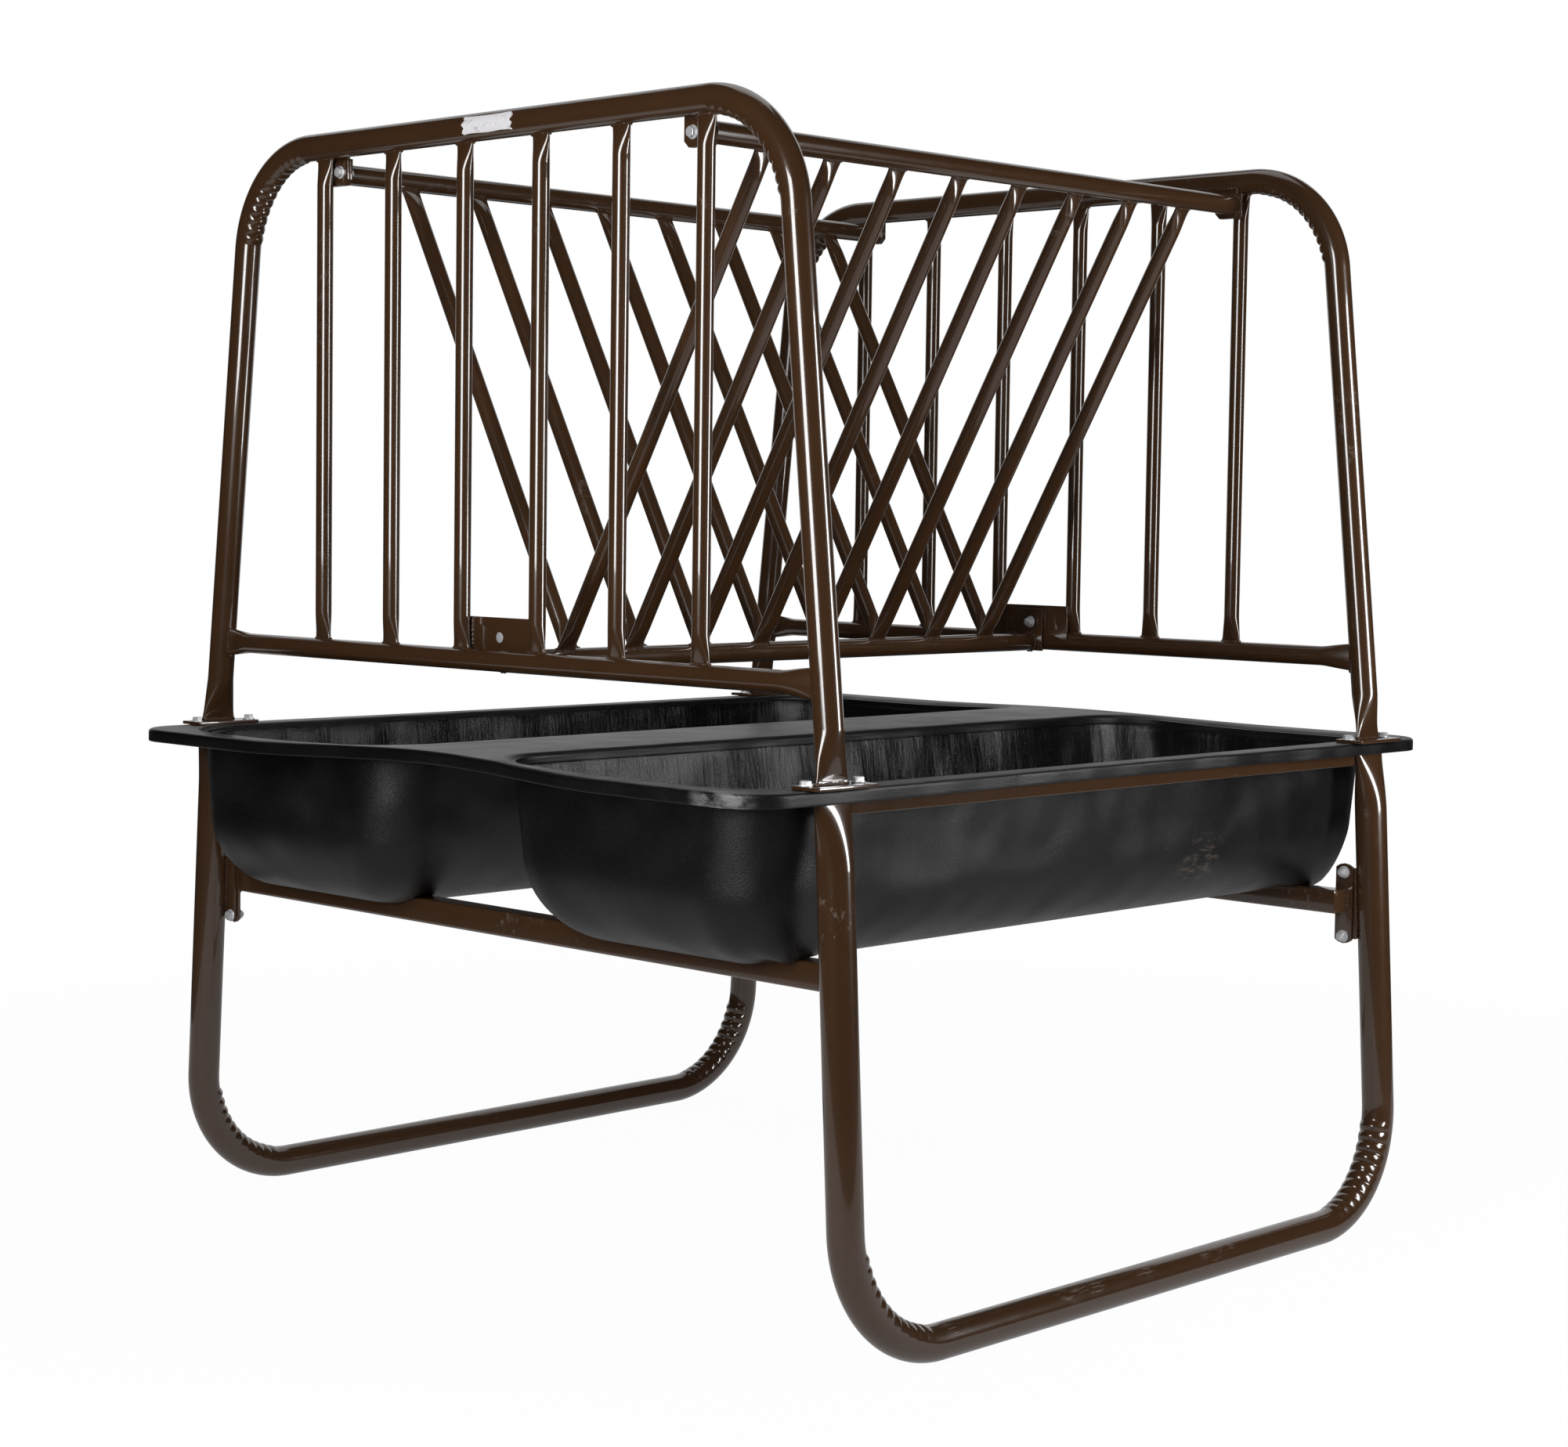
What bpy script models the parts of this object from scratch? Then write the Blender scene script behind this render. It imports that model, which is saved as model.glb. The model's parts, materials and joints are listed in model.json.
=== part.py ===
"""Double horse feeder: a moulded twin trough on two tube hoops, with a V hay rack between two barred end frames.

Lengths are in metres. X runs along the trough, Y across it, Z up from the floor.
Left is -X, right is +X, front is -Y and back is +Y.
"""
import math

import bmesh
import bpy
from mathutils import Vector

# Clearances
SEAT = 0.0003
HOLE_CLEARANCE = 0.0009
WELD_OVERLAP = 0.0006
MERGE_DISTANCE = 0.000001
SHARP_ANGLE = math.radians(40)

# Tube stock, outside diameters, and the thickness of a tube end pressed flat
LEG_TUBE_D = 0.0508
FRAME_TUBE_D = 0.0413
RAIL_TUBE_D = 0.03175
BAR_TUBE_D = 0.0254
PINCH_T = 0.005
RAIL_PINCH_T = 0.008

# How a pressed end takes shape: how square its edges are, and how far it is pressed part of the way along
FLAT_SQUARENESS = 2.2
LEG_PRESS_PLACE = 0.62
LEG_PRESS = 0.45
BAR_PRESS_PLACE = 0.4
BAR_PRESS = 0.8

# Facets round each tube
LEG_SIDES = 12
FRAME_SIDES = 10
RAIL_SIDES = 12
BAR_SIDES = 8

# Lower hoops: two legs and a ground rail bent from one tube, leaning inwards as they rise
LEG_INSET = 0.159
GROUND_RAIL_SPREAD = 0.0345
LEG_LEAN = 0.0585
LEG_BEND_R = 0.178
LEG_PINCH_LENGTH = 0.110
LEG_FLAT_LENGTH = 0.036

# Crush wrinkles on the inside of each bend
LEG_WRINKLES = 11
LEG_WRINKLE_START = math.radians(12)
LEG_WRINKLE_END = math.radians(76)
FRAME_WRINKLES = 11
FRAME_WRINKLE_START = math.radians(7)
FRAME_WRINKLE_END = math.radians(74)
WRINKLE_HEIGHT = 0.0032

# Moulded trough
RIM_Z = 0.7875
RIM_HALF_LENGTH = 0.796
RIM_HALF_WIDTH = 0.7045
RIM_CORNER_R = 0.074
SIDE_BOW = 0.0094
SIDE_BOW_HALF = 0.500
END_WAIST = 0.039
END_WAIST_HALF = 0.442
CROWN = 0.0085
CROWN_HALF = 0.424
LIP_HEIGHT = 0.0195
LIP_T = 0.0042
LIP_FILLET = 0.0055
FLANGE_T = 0.005
WALL_T = 0.0052
END_FLANGE = 0.037
SIDE_FLANGE = 0.0435
DIVIDER_HALF = 0.102
BASIN_INNER_CORNER_R = 0.105
BASIN_OUTER_CORNER_R = 0.125
SHOULDER_X = 0.033
SHOULDER_Y = 0.008
SHOULDER_DEPTH = 0.026
END_DRAFT = 0.003
OUTER_DRAFT = 0.025
INNER_DRAFT = 0.040
CORNER_TIGHTENING = 0.028
INNER_TIGHTENING_SHARE = 0.6
SHOULDER_STEPS = (0.15, 0.5)
BASIN_DEPTH = 0.2525
BOTTOM_R = 0.118
MIN_CORNER_R = 0.016
CENTRE_CORNER = 0.095

# Faceting of the trough
CORNER_STEPS = 6
LONG_STEPS = 4
END_STEPS = 3
BOTTOM_STEPS = 4

# Steel angle under each long flange
ANGLE_LEG = 0.03175
ANGLE_T = 0.0032
ANGLE_SETBACK = 0.014
ANGLE_PAST_LEG = 0.063
ANGLE_WEB_PAST_LEG = 0.023

# Square cross members, their end plates and the tabs on the legs
MEMBER_SIZE = 0.0381
MEMBER_TO_LEG = 0.045
MEMBER_IN_FLOOR = 0.013
MEMBER_SETBACK = 0.0265
PLATE_T = 0.005
MEMBER_PLATE_BELOW = 0.087
MEMBER_PLATE_ABOVE = 0.041
MEMBER_PLATE_WIDTH = 0.042
MEMBER_PLATE_OVERHANG = 0.009
MEMBER_PLATE_CROWN = 0.006
MEMBER_BOLT_SETBACK = 0.020
MEMBER_BOLT_HEIGHTS = (-0.076, 0.029)
GROOVE_CLEARANCE = 0.0005
RIDGE_SLOPE = 0.006

# End frames: inverted hoops on foot plates, with a cross rail and bars
FRAME_INSET = 0.160
FRAME_TOP_Z = 1.7064
FRAME_CORNER_Y = 0.5957
FRAME_FOOT_SETBACK = 0.01263
FRAME_BEND_R = 0.168
FRAME_PINCH_LENGTH = 0.085
FRAME_FLAT_LENGTH = 0.012
FOOT_PLATE_LENGTH = 0.127
FOOT_PLATE_WIDTH = 0.0508
FOOT_PLATE_T = 0.005
FOOT_PLATE_OFFSET = 0.004
FOOT_PLATE_SETBACK = 0.0245
FOOT_BOLT_SPACING = 0.1016
END_RAIL_RISE = 0.1359
RAIL_PINCH_LENGTH = 0.060
END_BARS = 6
END_BAR_PITCH = 0.16975
LEFT_BAR_SHIFT = -0.017
RIGHT_BAR_SHIFT = 0.005
BAR_PINCH_LENGTH = 0.044

# Hay rack
RACK_TOP_DROP = 0.0404
RACK_BOTTOM_DROP = 0.0014
RACK_BACK_Y = 0.4065
RACK_FRONT_Y = -0.4215
RACK_BARS = 8
RACK_BAR_MARGIN = 0.1242
FRONT_BAR_SHIFT = -0.008
BACK_BAR_SHIFT = 0.014
RACK_PLATE_WIDTH = 0.060
RACK_PLATE_HEIGHT = 0.041
RACK_PLATE_OVERHANG = 0.016
RACK_BOLT_OFFSET = 0.0245
TOP_TAB_WIDTH = 0.046
TOP_TAB_CHAMFER = 0.010
LOW_TAB_HEIGHT = 0.0636
LOW_PLATE_WIDTH = 0.056
LOW_PLATE_RISE = 0.059
LOW_BOLT_Y = -0.005
LOW_BOLT_RISE = 0.0355

# Fasteners
BOLT_D = 0.0095
HEAD_FLATS = 0.0140
HEAD_HEIGHT = 0.0062
NUT_HEIGHT = 0.0080
TIP_LENGTH = 0.0050
DOME_D = 0.0230
DOME_HEIGHT = 0.0052
DOME_STEPS = ((1.0, 0.0), (0.8, 0.6), (0.35, 1.0))
HOLE_SIDES = 8
BOLT_SIDES = 6
DOME_BOLT_SIDES = 12

END_SIGNS = {"left": -1, "right": 1}
SIDE_SIGNS = {"front": -1, "back": 1}


# Materials

def make_material(name, colour, roughness, metallic):
    """A plain Principled material with the part's colour, roughness and metallic value."""
    material = bpy.data.materials.new(name)
    material.use_nodes = True
    shader = material.node_tree.nodes["Principled BSDF"]
    shader.inputs["Base Color"].default_value = (*colour, 1.0)
    shader.inputs["Roughness"].default_value = roughness
    shader.inputs["Metallic"].default_value = metallic
    return material


# Mesh helpers

def link_mesh(name, bm, material):
    """Turn a bmesh into a named object in the scene, with round parts shaded smooth."""
    mesh = bpy.data.meshes.new(name)
    bm.to_mesh(mesh)
    bm.free()
    mesh.materials.append(material)
    mesh.shade_smooth()
    mesh.set_sharp_from_angle(angle=SHARP_ANGLE)
    obj = bpy.data.objects.new(name, mesh)
    bpy.context.scene.collection.objects.link(obj)
    return obj


def add_loft(bm, rings):
    """Join rings of equal length into one closed solid with a face over each end."""
    rows = [[bm.verts.new(point) for point in ring] for ring in rings]
    count = len(rows[0])
    for low, high in zip(rows, rows[1:]):
        for i in range(count):
            j = (i + 1) % count
            bm.faces.new((low[i], low[j], high[j], high[i]))
    bm.faces.new(list(reversed(rows[0])))
    bm.faces.new(rows[-1])


def add_box(bm, low, high):
    """An axis-aligned box between two corners."""
    x0, y0, z0 = low
    x1, y1, z1 = high
    floor = [(x0, y0, z0), (x1, y0, z0), (x1, y1, z0), (x0, y1, z0)]
    roof = [(x0, y0, z1), (x1, y0, z1), (x1, y1, z1), (x0, y1, z1)]
    add_loft(bm, [floor, roof])


def add_prism(bm, outline, place, start, end):
    """Sweep a flat outline between two depths; place(a, b, depth) gives a point in space."""
    add_loft(bm, [[place(a, b, depth) for a, b in outline] for depth in (start, end)])


def face_outwards(bm):
    """Point every face of the closed solids outwards."""
    bmesh.ops.recalc_face_normals(bm, faces=bm.faces)


def new_solid(name, build, material):
    """Run a building function on an empty bmesh and link the result."""
    bm = bmesh.new()
    build(bm)
    face_outwards(bm)
    return link_mesh(name, bm, material)


def combine(target, tool, operation):
    """Join or cut one object with another and keep the result as the target's mesh."""
    modifier = target.modifiers.new(operation.title(), "BOOLEAN")
    modifier.operation = operation
    modifier.solver = "EXACT"
    modifier.object = tool
    graph = bpy.context.evaluated_depsgraph_get()
    result = bpy.data.meshes.new_from_object(target.evaluated_get(graph))
    target.modifiers.clear()
    target.data = result
    bpy.data.objects.remove(tool)
    bpy.context.view_layer.update()


# Round sections

def area_factor(sides):
    """Vertex radius over tube radius that gives a polygon the area of the circle."""
    angle = 2 * math.pi / sides
    return math.sqrt(angle / math.sin(angle))


def vertex_radius(radius, sides):
    """Distance from a faceted tube's axis to its edges."""
    return radius * area_factor(sides)


def flat_radius(radius, sides):
    """Distance from a faceted tube's axis to the middle of a facet."""
    return vertex_radius(radius, sides) * math.cos(math.pi / sides)


def circle(radius, sides):
    """Points of a polygon with the circle's area, with a facet centred on the first axis."""
    reach = vertex_radius(radius, sides)
    return [
        (reach * math.cos(2 * math.pi * (k + 0.5) / sides), reach * math.sin(2 * math.pi * (k + 0.5) / sides))
        for k in range(sides)
    ]


def flat_width(radius, thickness):
    """Width of a tube pressed flat without stretching: its outline keeps its length."""
    return math.pi * radius - (math.pi / 2 - 1) * thickness


def section(radius, sides, press, thickness, wide_first):
    """A tube section pressed from round (press 0) to flat (press 1), wide along one of its two axes."""
    points = []
    half_width = flat_width(radius, thickness) / 2
    for a, b in circle(radius, sides):
        angle = math.atan2(b, a)
        wide, thin = (math.cos(angle), math.sin(angle)) if wide_first else (math.sin(angle), math.cos(angle))
        flat_wide = half_width * wide
        flat_thin = thickness / 2 * max(-1.0, min(1.0, FLAT_SQUARENESS * thin))
        flat = (flat_wide, flat_thin) if wide_first else (flat_thin, flat_wide)
        points.append((a + (flat[0] - a) * press, b + (flat[1] - b) * press))
    return points


# Bent hoops

def hoop_half(corner, spread, leg_end, bend_r, wrinkles, wrinkle_start, wrinkle_end, pinch_length, flat_length):
    """Stations of half a hoop, from the rail's bend to the leg's end, in the hoop's own plane.

    The rail lies along a at b = 0 and the leg leaves the corner towards +b. Each station holds its point,
    the unit normal that faces away from the bend's centre, its wrinkle height and how far it is pressed flat.
    """
    turn = math.atan2(1, spread)
    tangent = bend_r * math.tan(turn / 2)
    centre_a = corner - tangent
    stations = []

    def bend_station(angle, wrinkle):
        normal = (math.sin(angle), -math.cos(angle))
        point = (centre_a + bend_r * normal[0], bend_r + bend_r * normal[1])
        stations.append((point, normal, wrinkle, 0.0))

    bend_station(0.0, 0.0)
    for k in range(2 * wrinkles + 1):
        angle = wrinkle_start + (wrinkle_end - wrinkle_start) * k / (2 * wrinkles)
        bend_station(angle, WRINKLE_HEIGHT if k % 2 else 0.0)
    bend_station(turn, 0.0)
    normal = (math.sin(turn), -math.cos(turn))
    presses = ((pinch_length, 0.0), (LEG_PRESS_PLACE * pinch_length, LEG_PRESS), (flat_length, 1.0), (0.0, 1.0))
    for back, press in presses:
        b = leg_end - back
        stations.append(((corner + spread * b, b), normal, 0.0, press))
    return stations


def hoop_rings(half, place, normal_to_plane, radius, sides, roll, flat_in_plane):
    """Rings of a whole hoop; place maps the plane's point or direction into space.

    flat_in_plane says whether the pressed ends lie in the hoop's plane or stand across it.
    """
    mirrored = [((-p[0], p[1]), (-n[0], n[1]), w, press) for p, n, w, press in reversed(half)]
    rings = []
    for point, normal, wrinkle, press in mirrored + half:
        turn = roll * (1 - press)
        across = place(normal, True)
        centre = place(point, False)
        ring = []
        outline = section(radius, sides, press, PINCH_T, flat_in_plane)
        for a, b in outline:
            size = math.hypot(a, b)
            angle = math.atan2(b, a) + turn
            inward = max(0.0, -math.cos(angle)) ** 2
            reach = size + wrinkle * inward
            ring.append(centre + across * (reach * math.cos(angle)) + normal_to_plane * (reach * math.sin(angle)))
        rings.append(ring)
    return rings


# Places that follow from the sizes above

LEG_X = RIM_HALF_LENGTH - LEG_INSET
GROUND_RAIL_Y = RIM_HALF_WIDTH + GROUND_RAIL_SPREAD
GROUND_RAIL_Z = flat_radius(LEG_TUBE_D / 2, LEG_SIDES)
BOTTOM_Z = RIM_Z - BASIN_DEPTH
BASIN_HALF_LENGTH = RIM_HALF_LENGTH - END_FLANGE
BASIN_OUTER_Y = RIM_HALF_WIDTH - SIDE_FLANGE
BASIN_INNER_Y = DIVIDER_HALF
FLANGE_UNDER_Z = RIM_Z - FLANGE_T
ANGLE_TOP_Z = FLANGE_UNDER_Z - SEAT
ANGLE_FACE_Y = RIM_HALF_WIDTH - ANGLE_SETBACK
ANGLE_HALF_LENGTH = LEG_X + ANGLE_PAST_LEG
ANGLE_WEB_HALF_LENGTH = LEG_X + ANGLE_WEB_PAST_LEG
LEG_TOP_Z = FLANGE_UNDER_Z - SEAT
LEG_TOP_Y = ANGLE_FACE_Y + SEAT + PINCH_T / 2
MEMBER_X = LEG_X - MEMBER_TO_LEG
MEMBER_TOP_Z = BOTTOM_Z + MEMBER_IN_FLOOR
MEMBER_HALF_LENGTH = RIM_HALF_WIDTH - MEMBER_SETBACK
MEMBER_PLATE_LOW_Z = MEMBER_TOP_Z - MEMBER_PLATE_BELOW
MEMBER_PLATE_HIGH_Z = MEMBER_TOP_Z + MEMBER_PLATE_ABOVE
MEMBER_PLATE_OUTER_Y = MEMBER_HALF_LENGTH + MEMBER_PLATE_OVERHANG
MEMBER_PLATE_INNER_Y = MEMBER_PLATE_OUTER_Y - MEMBER_PLATE_WIDTH
MEMBER_BOLT_Y = MEMBER_PLATE_OUTER_Y - MEMBER_BOLT_SETBACK
MEMBER_BOLT_ZS = [MEMBER_TOP_Z + height for height in MEMBER_BOLT_HEIGHTS]
MEMBER_OUTER_X = MEMBER_X + MEMBER_SIZE / 2
MEMBER_PLATE_X = MEMBER_OUTER_X - WELD_OVERLAP
LEG_TAB_X = MEMBER_PLATE_X + PLATE_T + SEAT
FRAME_X = RIM_HALF_LENGTH - FRAME_INSET
FOOT_PLATE_X = FRAME_X - FOOT_PLATE_OFFSET
FOOT_PLATE_Y = RIM_HALF_WIDTH - FOOT_PLATE_SETBACK
FOOT_PLATE_LOW_Z = RIM_Z + SEAT
FOOT_PLATE_TOP_Z = FOOT_PLATE_LOW_Z + FOOT_PLATE_T
FRAME_FOOT_Z = FOOT_PLATE_TOP_Z + SEAT
FRAME_FOOT_Y = RIM_HALF_WIDTH - FRAME_FOOT_SETBACK
FRAME_SPREAD = (FRAME_FOOT_Y - FRAME_CORNER_Y) / (FRAME_TOP_Z - FRAME_FOOT_Z)
END_RAIL_Z = RIM_Z + END_RAIL_RISE
RACK_TOP_Z = FRAME_TOP_Z - RACK_TOP_DROP
RACK_BOTTOM_Z = END_RAIL_Z - RACK_BOTTOM_DROP
TOP_TAB_X = FRAME_X - FRAME_TUBE_D / 2 + PLATE_T / 2
RACK_PLATE_X = TOP_TAB_X - SEAT - PLATE_T
RACK_RAIL_END_X = RACK_PLATE_X + WELD_OVERLAP
RACK_BAR_PITCH = 2 * (RACK_RAIL_END_X - RACK_BAR_MARGIN) / (RACK_BARS - 1)
LOW_TAB_X = FRAME_X - flat_radius(RAIL_TUBE_D / 2, RAIL_SIDES) + WELD_OVERLAP - PLATE_T
LOW_PLATE_X = LOW_TAB_X - SEAT - PLATE_T
LOW_RAIL_END_X = LOW_PLATE_X + WELD_OVERLAP
LOW_PLATE_HIGH_Z = RACK_BOTTOM_Z + LOW_PLATE_RISE
LOW_BOLT_Z = RACK_BOTTOM_Z + LOW_BOLT_RISE


def leg_y(z):
    """Distance of a lower hoop's leg axis from the middle of the feeder at a height."""
    return GROUND_RAIL_Y - LEG_LEAN * (z - GROUND_RAIL_Z)


def frame_leg_y(z):
    """Distance of an end hoop's leg axis from the middle of the feeder at a height."""
    return FRAME_CORNER_Y + FRAME_SPREAD * (FRAME_TOP_Z - z)


def build_leg_hoop(bm, side):
    """A lower hoop: the ground rail and two legs in a plane that leans towards the middle."""
    lean = math.atan(LEG_LEAN)
    up = Vector((0, -side * math.sin(lean), math.cos(lean)))
    inward = Vector((0, -side * math.cos(lean), -math.sin(lean)))
    base = Vector((0, side * GROUND_RAIL_Y, GROUND_RAIL_Z))
    leg_end = (LEG_TOP_Z - GROUND_RAIL_Z) / math.cos(lean)
    half = hoop_half(
        LEG_X, 0.0, leg_end, LEG_BEND_R, LEG_WRINKLES, LEG_WRINKLE_START, LEG_WRINKLE_END,
        LEG_PINCH_LENGTH, LEG_FLAT_LENGTH,
    )

    def place(pair, direction):
        vector = Vector((pair[0], 0, 0)) + up * pair[1]
        return vector if direction else base + vector

    rings = hoop_rings(half, place, inward, LEG_TUBE_D / 2, LEG_SIDES, lean, True)
    flat_low_z = LEG_TOP_Z - LEG_FLAT_LENGTH
    for ring in (rings[0], rings[1], rings[-2], rings[-1]):
        middle = sum((p.y for p in ring)) / len(ring)
        height = LEG_TOP_Z if ring in (rings[0], rings[-1]) else flat_low_z
        for p in ring:
            p.y += side * LEG_TOP_Y - middle
            p.z = height
    add_loft(bm, rings)


def build_end_hoop(bm, end):
    """An end hoop: the top rail and two legs that spread towards the feet."""
    across = Vector((0, 1, 0))
    down = Vector((0, 0, -1))
    base = Vector((end * FRAME_X, 0, FRAME_TOP_Z))
    half = hoop_half(
        FRAME_CORNER_Y, FRAME_SPREAD, FRAME_TOP_Z - FRAME_FOOT_Z, FRAME_BEND_R, FRAME_WRINKLES,
        FRAME_WRINKLE_START, FRAME_WRINKLE_END, FRAME_PINCH_LENGTH, FRAME_FLAT_LENGTH,
    )

    def place(pair, direction):
        vector = across * pair[0] + down * pair[1]
        return vector if direction else base + vector

    rings = hoop_rings(half, place, Vector((1, 0, 0)), FRAME_TUBE_D / 2, FRAME_SIDES, 0.0, False)
    for ring in (rings[0], rings[-1]):
        for p in ring:
            p.z = FRAME_FOOT_Z
    add_loft(bm, rings)


# Straight tubes

def build_tube(bm, start, end, first, second, radius, sides, pinch, thickness, end_first=None):
    """A straight tube with both ends pressed flat over the pinch length, wide along the first axis.

    end_first replaces the first axis at the two end rings, which slants the ends to meet a leaning tube.
    """
    start = Vector(start)
    end = Vector(end)
    along = (end - start).normalized()
    length = (end - start).length
    if pinch == 0:
        spots = [(0.0, 0.0), (length, 0.0)]
    else:
        spots = [(0.0, 1.0), (BAR_PRESS_PLACE * pinch, BAR_PRESS), (pinch, 0.0)]
        spots += [(length - distance, press) for distance, press in reversed(spots)]
    rings = []
    for index, (distance, press) in enumerate(spots):
        wide = Vector(first)
        if end_first and index == 0:
            wide = Vector(end_first[0])
        if end_first and index == len(spots) - 1:
            wide = Vector(end_first[1])
        outline = section(radius, sides, press, thickness, True)
        rings.append([start + along * distance + wide * a + Vector(second) * b for a, b in outline])
    add_loft(bm, rings)


def build_end_rail(bm, end):
    """The cross rail of an end frame: its ends are pressed thin and tall, and slant with the legs."""
    lean = FRAME_SPREAD
    reach = vertex_radius(FRAME_TUBE_D / 2, FRAME_SIDES) * math.sqrt(1 + lean * lean)
    half = frame_leg_y(END_RAIL_Z) - reach - SEAT
    x = end * FRAME_X
    slants = (Vector((0, lean, 1)), Vector((0, -lean, 1)))
    build_tube(
        bm, (x, -half, END_RAIL_Z), (x, half, END_RAIL_Z), (0, 0, 1), (1, 0, 0),
        RAIL_TUBE_D / 2, RAIL_SIDES, RAIL_PINCH_LENGTH, RAIL_PINCH_T, slants,
    )


def end_bar_y(end, index):
    """Place across the feeder of one bar of an end frame."""
    shift = LEFT_BAR_SHIFT if end < 0 else RIGHT_BAR_SHIFT
    return ((END_BARS - 1) / 2 - index) * END_BAR_PITCH + shift


def frame_underside_z(y):
    """Height of the underside of an end hoop's top rail, which drops where its bends begin."""
    straight = FRAME_CORNER_Y - FRAME_BEND_R * math.tan(math.atan2(1, FRAME_SPREAD) / 2)
    inner_r = FRAME_BEND_R - flat_radius(FRAME_TUBE_D / 2, FRAME_SIDES)
    past = max(0.0, abs(y) - straight)
    return FRAME_TOP_Z - FRAME_BEND_R + math.sqrt(inner_r ** 2 - past ** 2)


def build_end_bar(bm, end, index):
    """One upright bar between the cross rail and the top of an end hoop."""
    x = end * FRAME_X
    y = end_bar_y(end, index)
    low = END_RAIL_Z + flat_radius(RAIL_TUBE_D / 2, RAIL_SIDES) + SEAT
    high = frame_underside_z(abs(y) + flat_width(BAR_TUBE_D / 2, PINCH_T) / 2) - SEAT
    build_tube(
        bm, (x, y, low), (x, y, high), (0, 1, 0), (1, 0, 0),
        BAR_TUBE_D / 2, BAR_SIDES, BAR_PINCH_LENGTH, PINCH_T,
    )


def rack_side_y(side):
    """Place across the feeder of a rack's top rail."""
    return RACK_FRONT_Y if side < 0 else RACK_BACK_Y


def rack_bar_x(side, index):
    """Place along the feeder of one sloping bar of the rack."""
    shift = FRONT_BAR_SHIFT if side < 0 else BACK_BAR_SHIFT
    return (index - (RACK_BARS - 1) / 2) * RACK_BAR_PITCH + shift


def build_rack_bar(bm, side, index):
    """One sloping bar from the bottom rail up to a top rail."""
    x = rack_bar_x(side, index)
    low = Vector((x, 0, RACK_BOTTOM_Z))
    high = Vector((x, rack_side_y(side), RACK_TOP_Z))
    along = (high - low).normalized()
    inset = along * (vertex_radius(RAIL_TUBE_D / 2, RAIL_SIDES) + SEAT)
    build_tube(
        bm, low + inset, high - inset, (1, 0, 0), along.cross(Vector((1, 0, 0))),
        BAR_TUBE_D / 2, BAR_SIDES, BAR_PINCH_LENGTH, PINCH_T,
    )


def build_rack_rail(bm, y, z, half):
    """A straight rail of the rack, cut square at both ends."""
    build_tube(
        bm, (-half, y, z), (half, y, z), (0, 0, 1), (0, 1, 0), RAIL_TUBE_D / 2, RAIL_SIDES, 0, PINCH_T,
    )


# Trough surfaces

def bow(x):
    """How far a long side is drawn in at a place along the trough."""
    return SIDE_BOW * max(0.0, 1 - (x / SIDE_BOW_HALF) ** 2)


def raised_cosine(distance, half):
    """A smooth hump: 1 in the middle, 0 from half outwards."""
    return math.cos(math.pi * distance / (2 * half)) ** 2 if abs(distance) < half else 0.0


def end_reach(y):
    """Half-length of the rim at a place across the trough, drawn in at the divider."""
    return RIM_HALF_LENGTH - END_WAIST * raised_cosine(y, END_WAIST_HALF)


def crown(y):
    """How far the top surface rises towards the divider."""
    return CROWN * raised_cosine(y, CROWN_HALF)


def arc(centre_x, centre_y, radius, start):
    """Points of a quarter circle that begins at an angle in degrees."""
    angles = [math.radians(start + 90 * k / CORNER_STEPS) for k in range(CORNER_STEPS + 1)]
    return [(centre_x + radius * math.cos(a), centre_y + radius * math.sin(a)) for a in angles]


def between(first, last, steps):
    """Values strictly between two ends."""
    return [first + (last - first) * k / steps for k in range(1, steps)]


def rim_outline(inset):
    """The rim of the back half, then the line along the divider, in the order of basin_outline."""
    length = RIM_HALF_LENGTH - inset
    width = RIM_HALF_WIDTH - inset
    radius = RIM_CORNER_R - inset
    points = arc(length - radius, width - radius, radius, 0)
    points += [(x, width - bow(x)) for x in between(length - radius, radius - length, LONG_STEPS)]
    points += arc(radius - length, width - radius, radius, 90)
    left = [(inset - end_reach(y), y) for y in between(width - radius, CENTRE_CORNER, END_STEPS)]
    half_corner = CORNER_STEPS // 2
    corner_ys = [CENTRE_CORNER * (1 - k / half_corner) for k in range(half_corner + 1)]
    corner_end = [(inset - end_reach(y), y) for y in corner_ys]
    tip = end_reach(0) - inset
    corner_line = [(-tip + CENTRE_CORNER * k / half_corner, 0.0) for k in range(1, half_corner + 1)]
    points += left + corner_end + corner_line
    inner = tip - CENTRE_CORNER
    points += [(x, 0.0) for x in between(-inner, inner, LONG_STEPS)]
    points += [(-x, y) for x, y in reversed(corner_line)] + [(-x, y) for x, y in reversed(corner_end)]
    points += [(-x, y) for x, y in reversed(left)]
    return points


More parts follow.
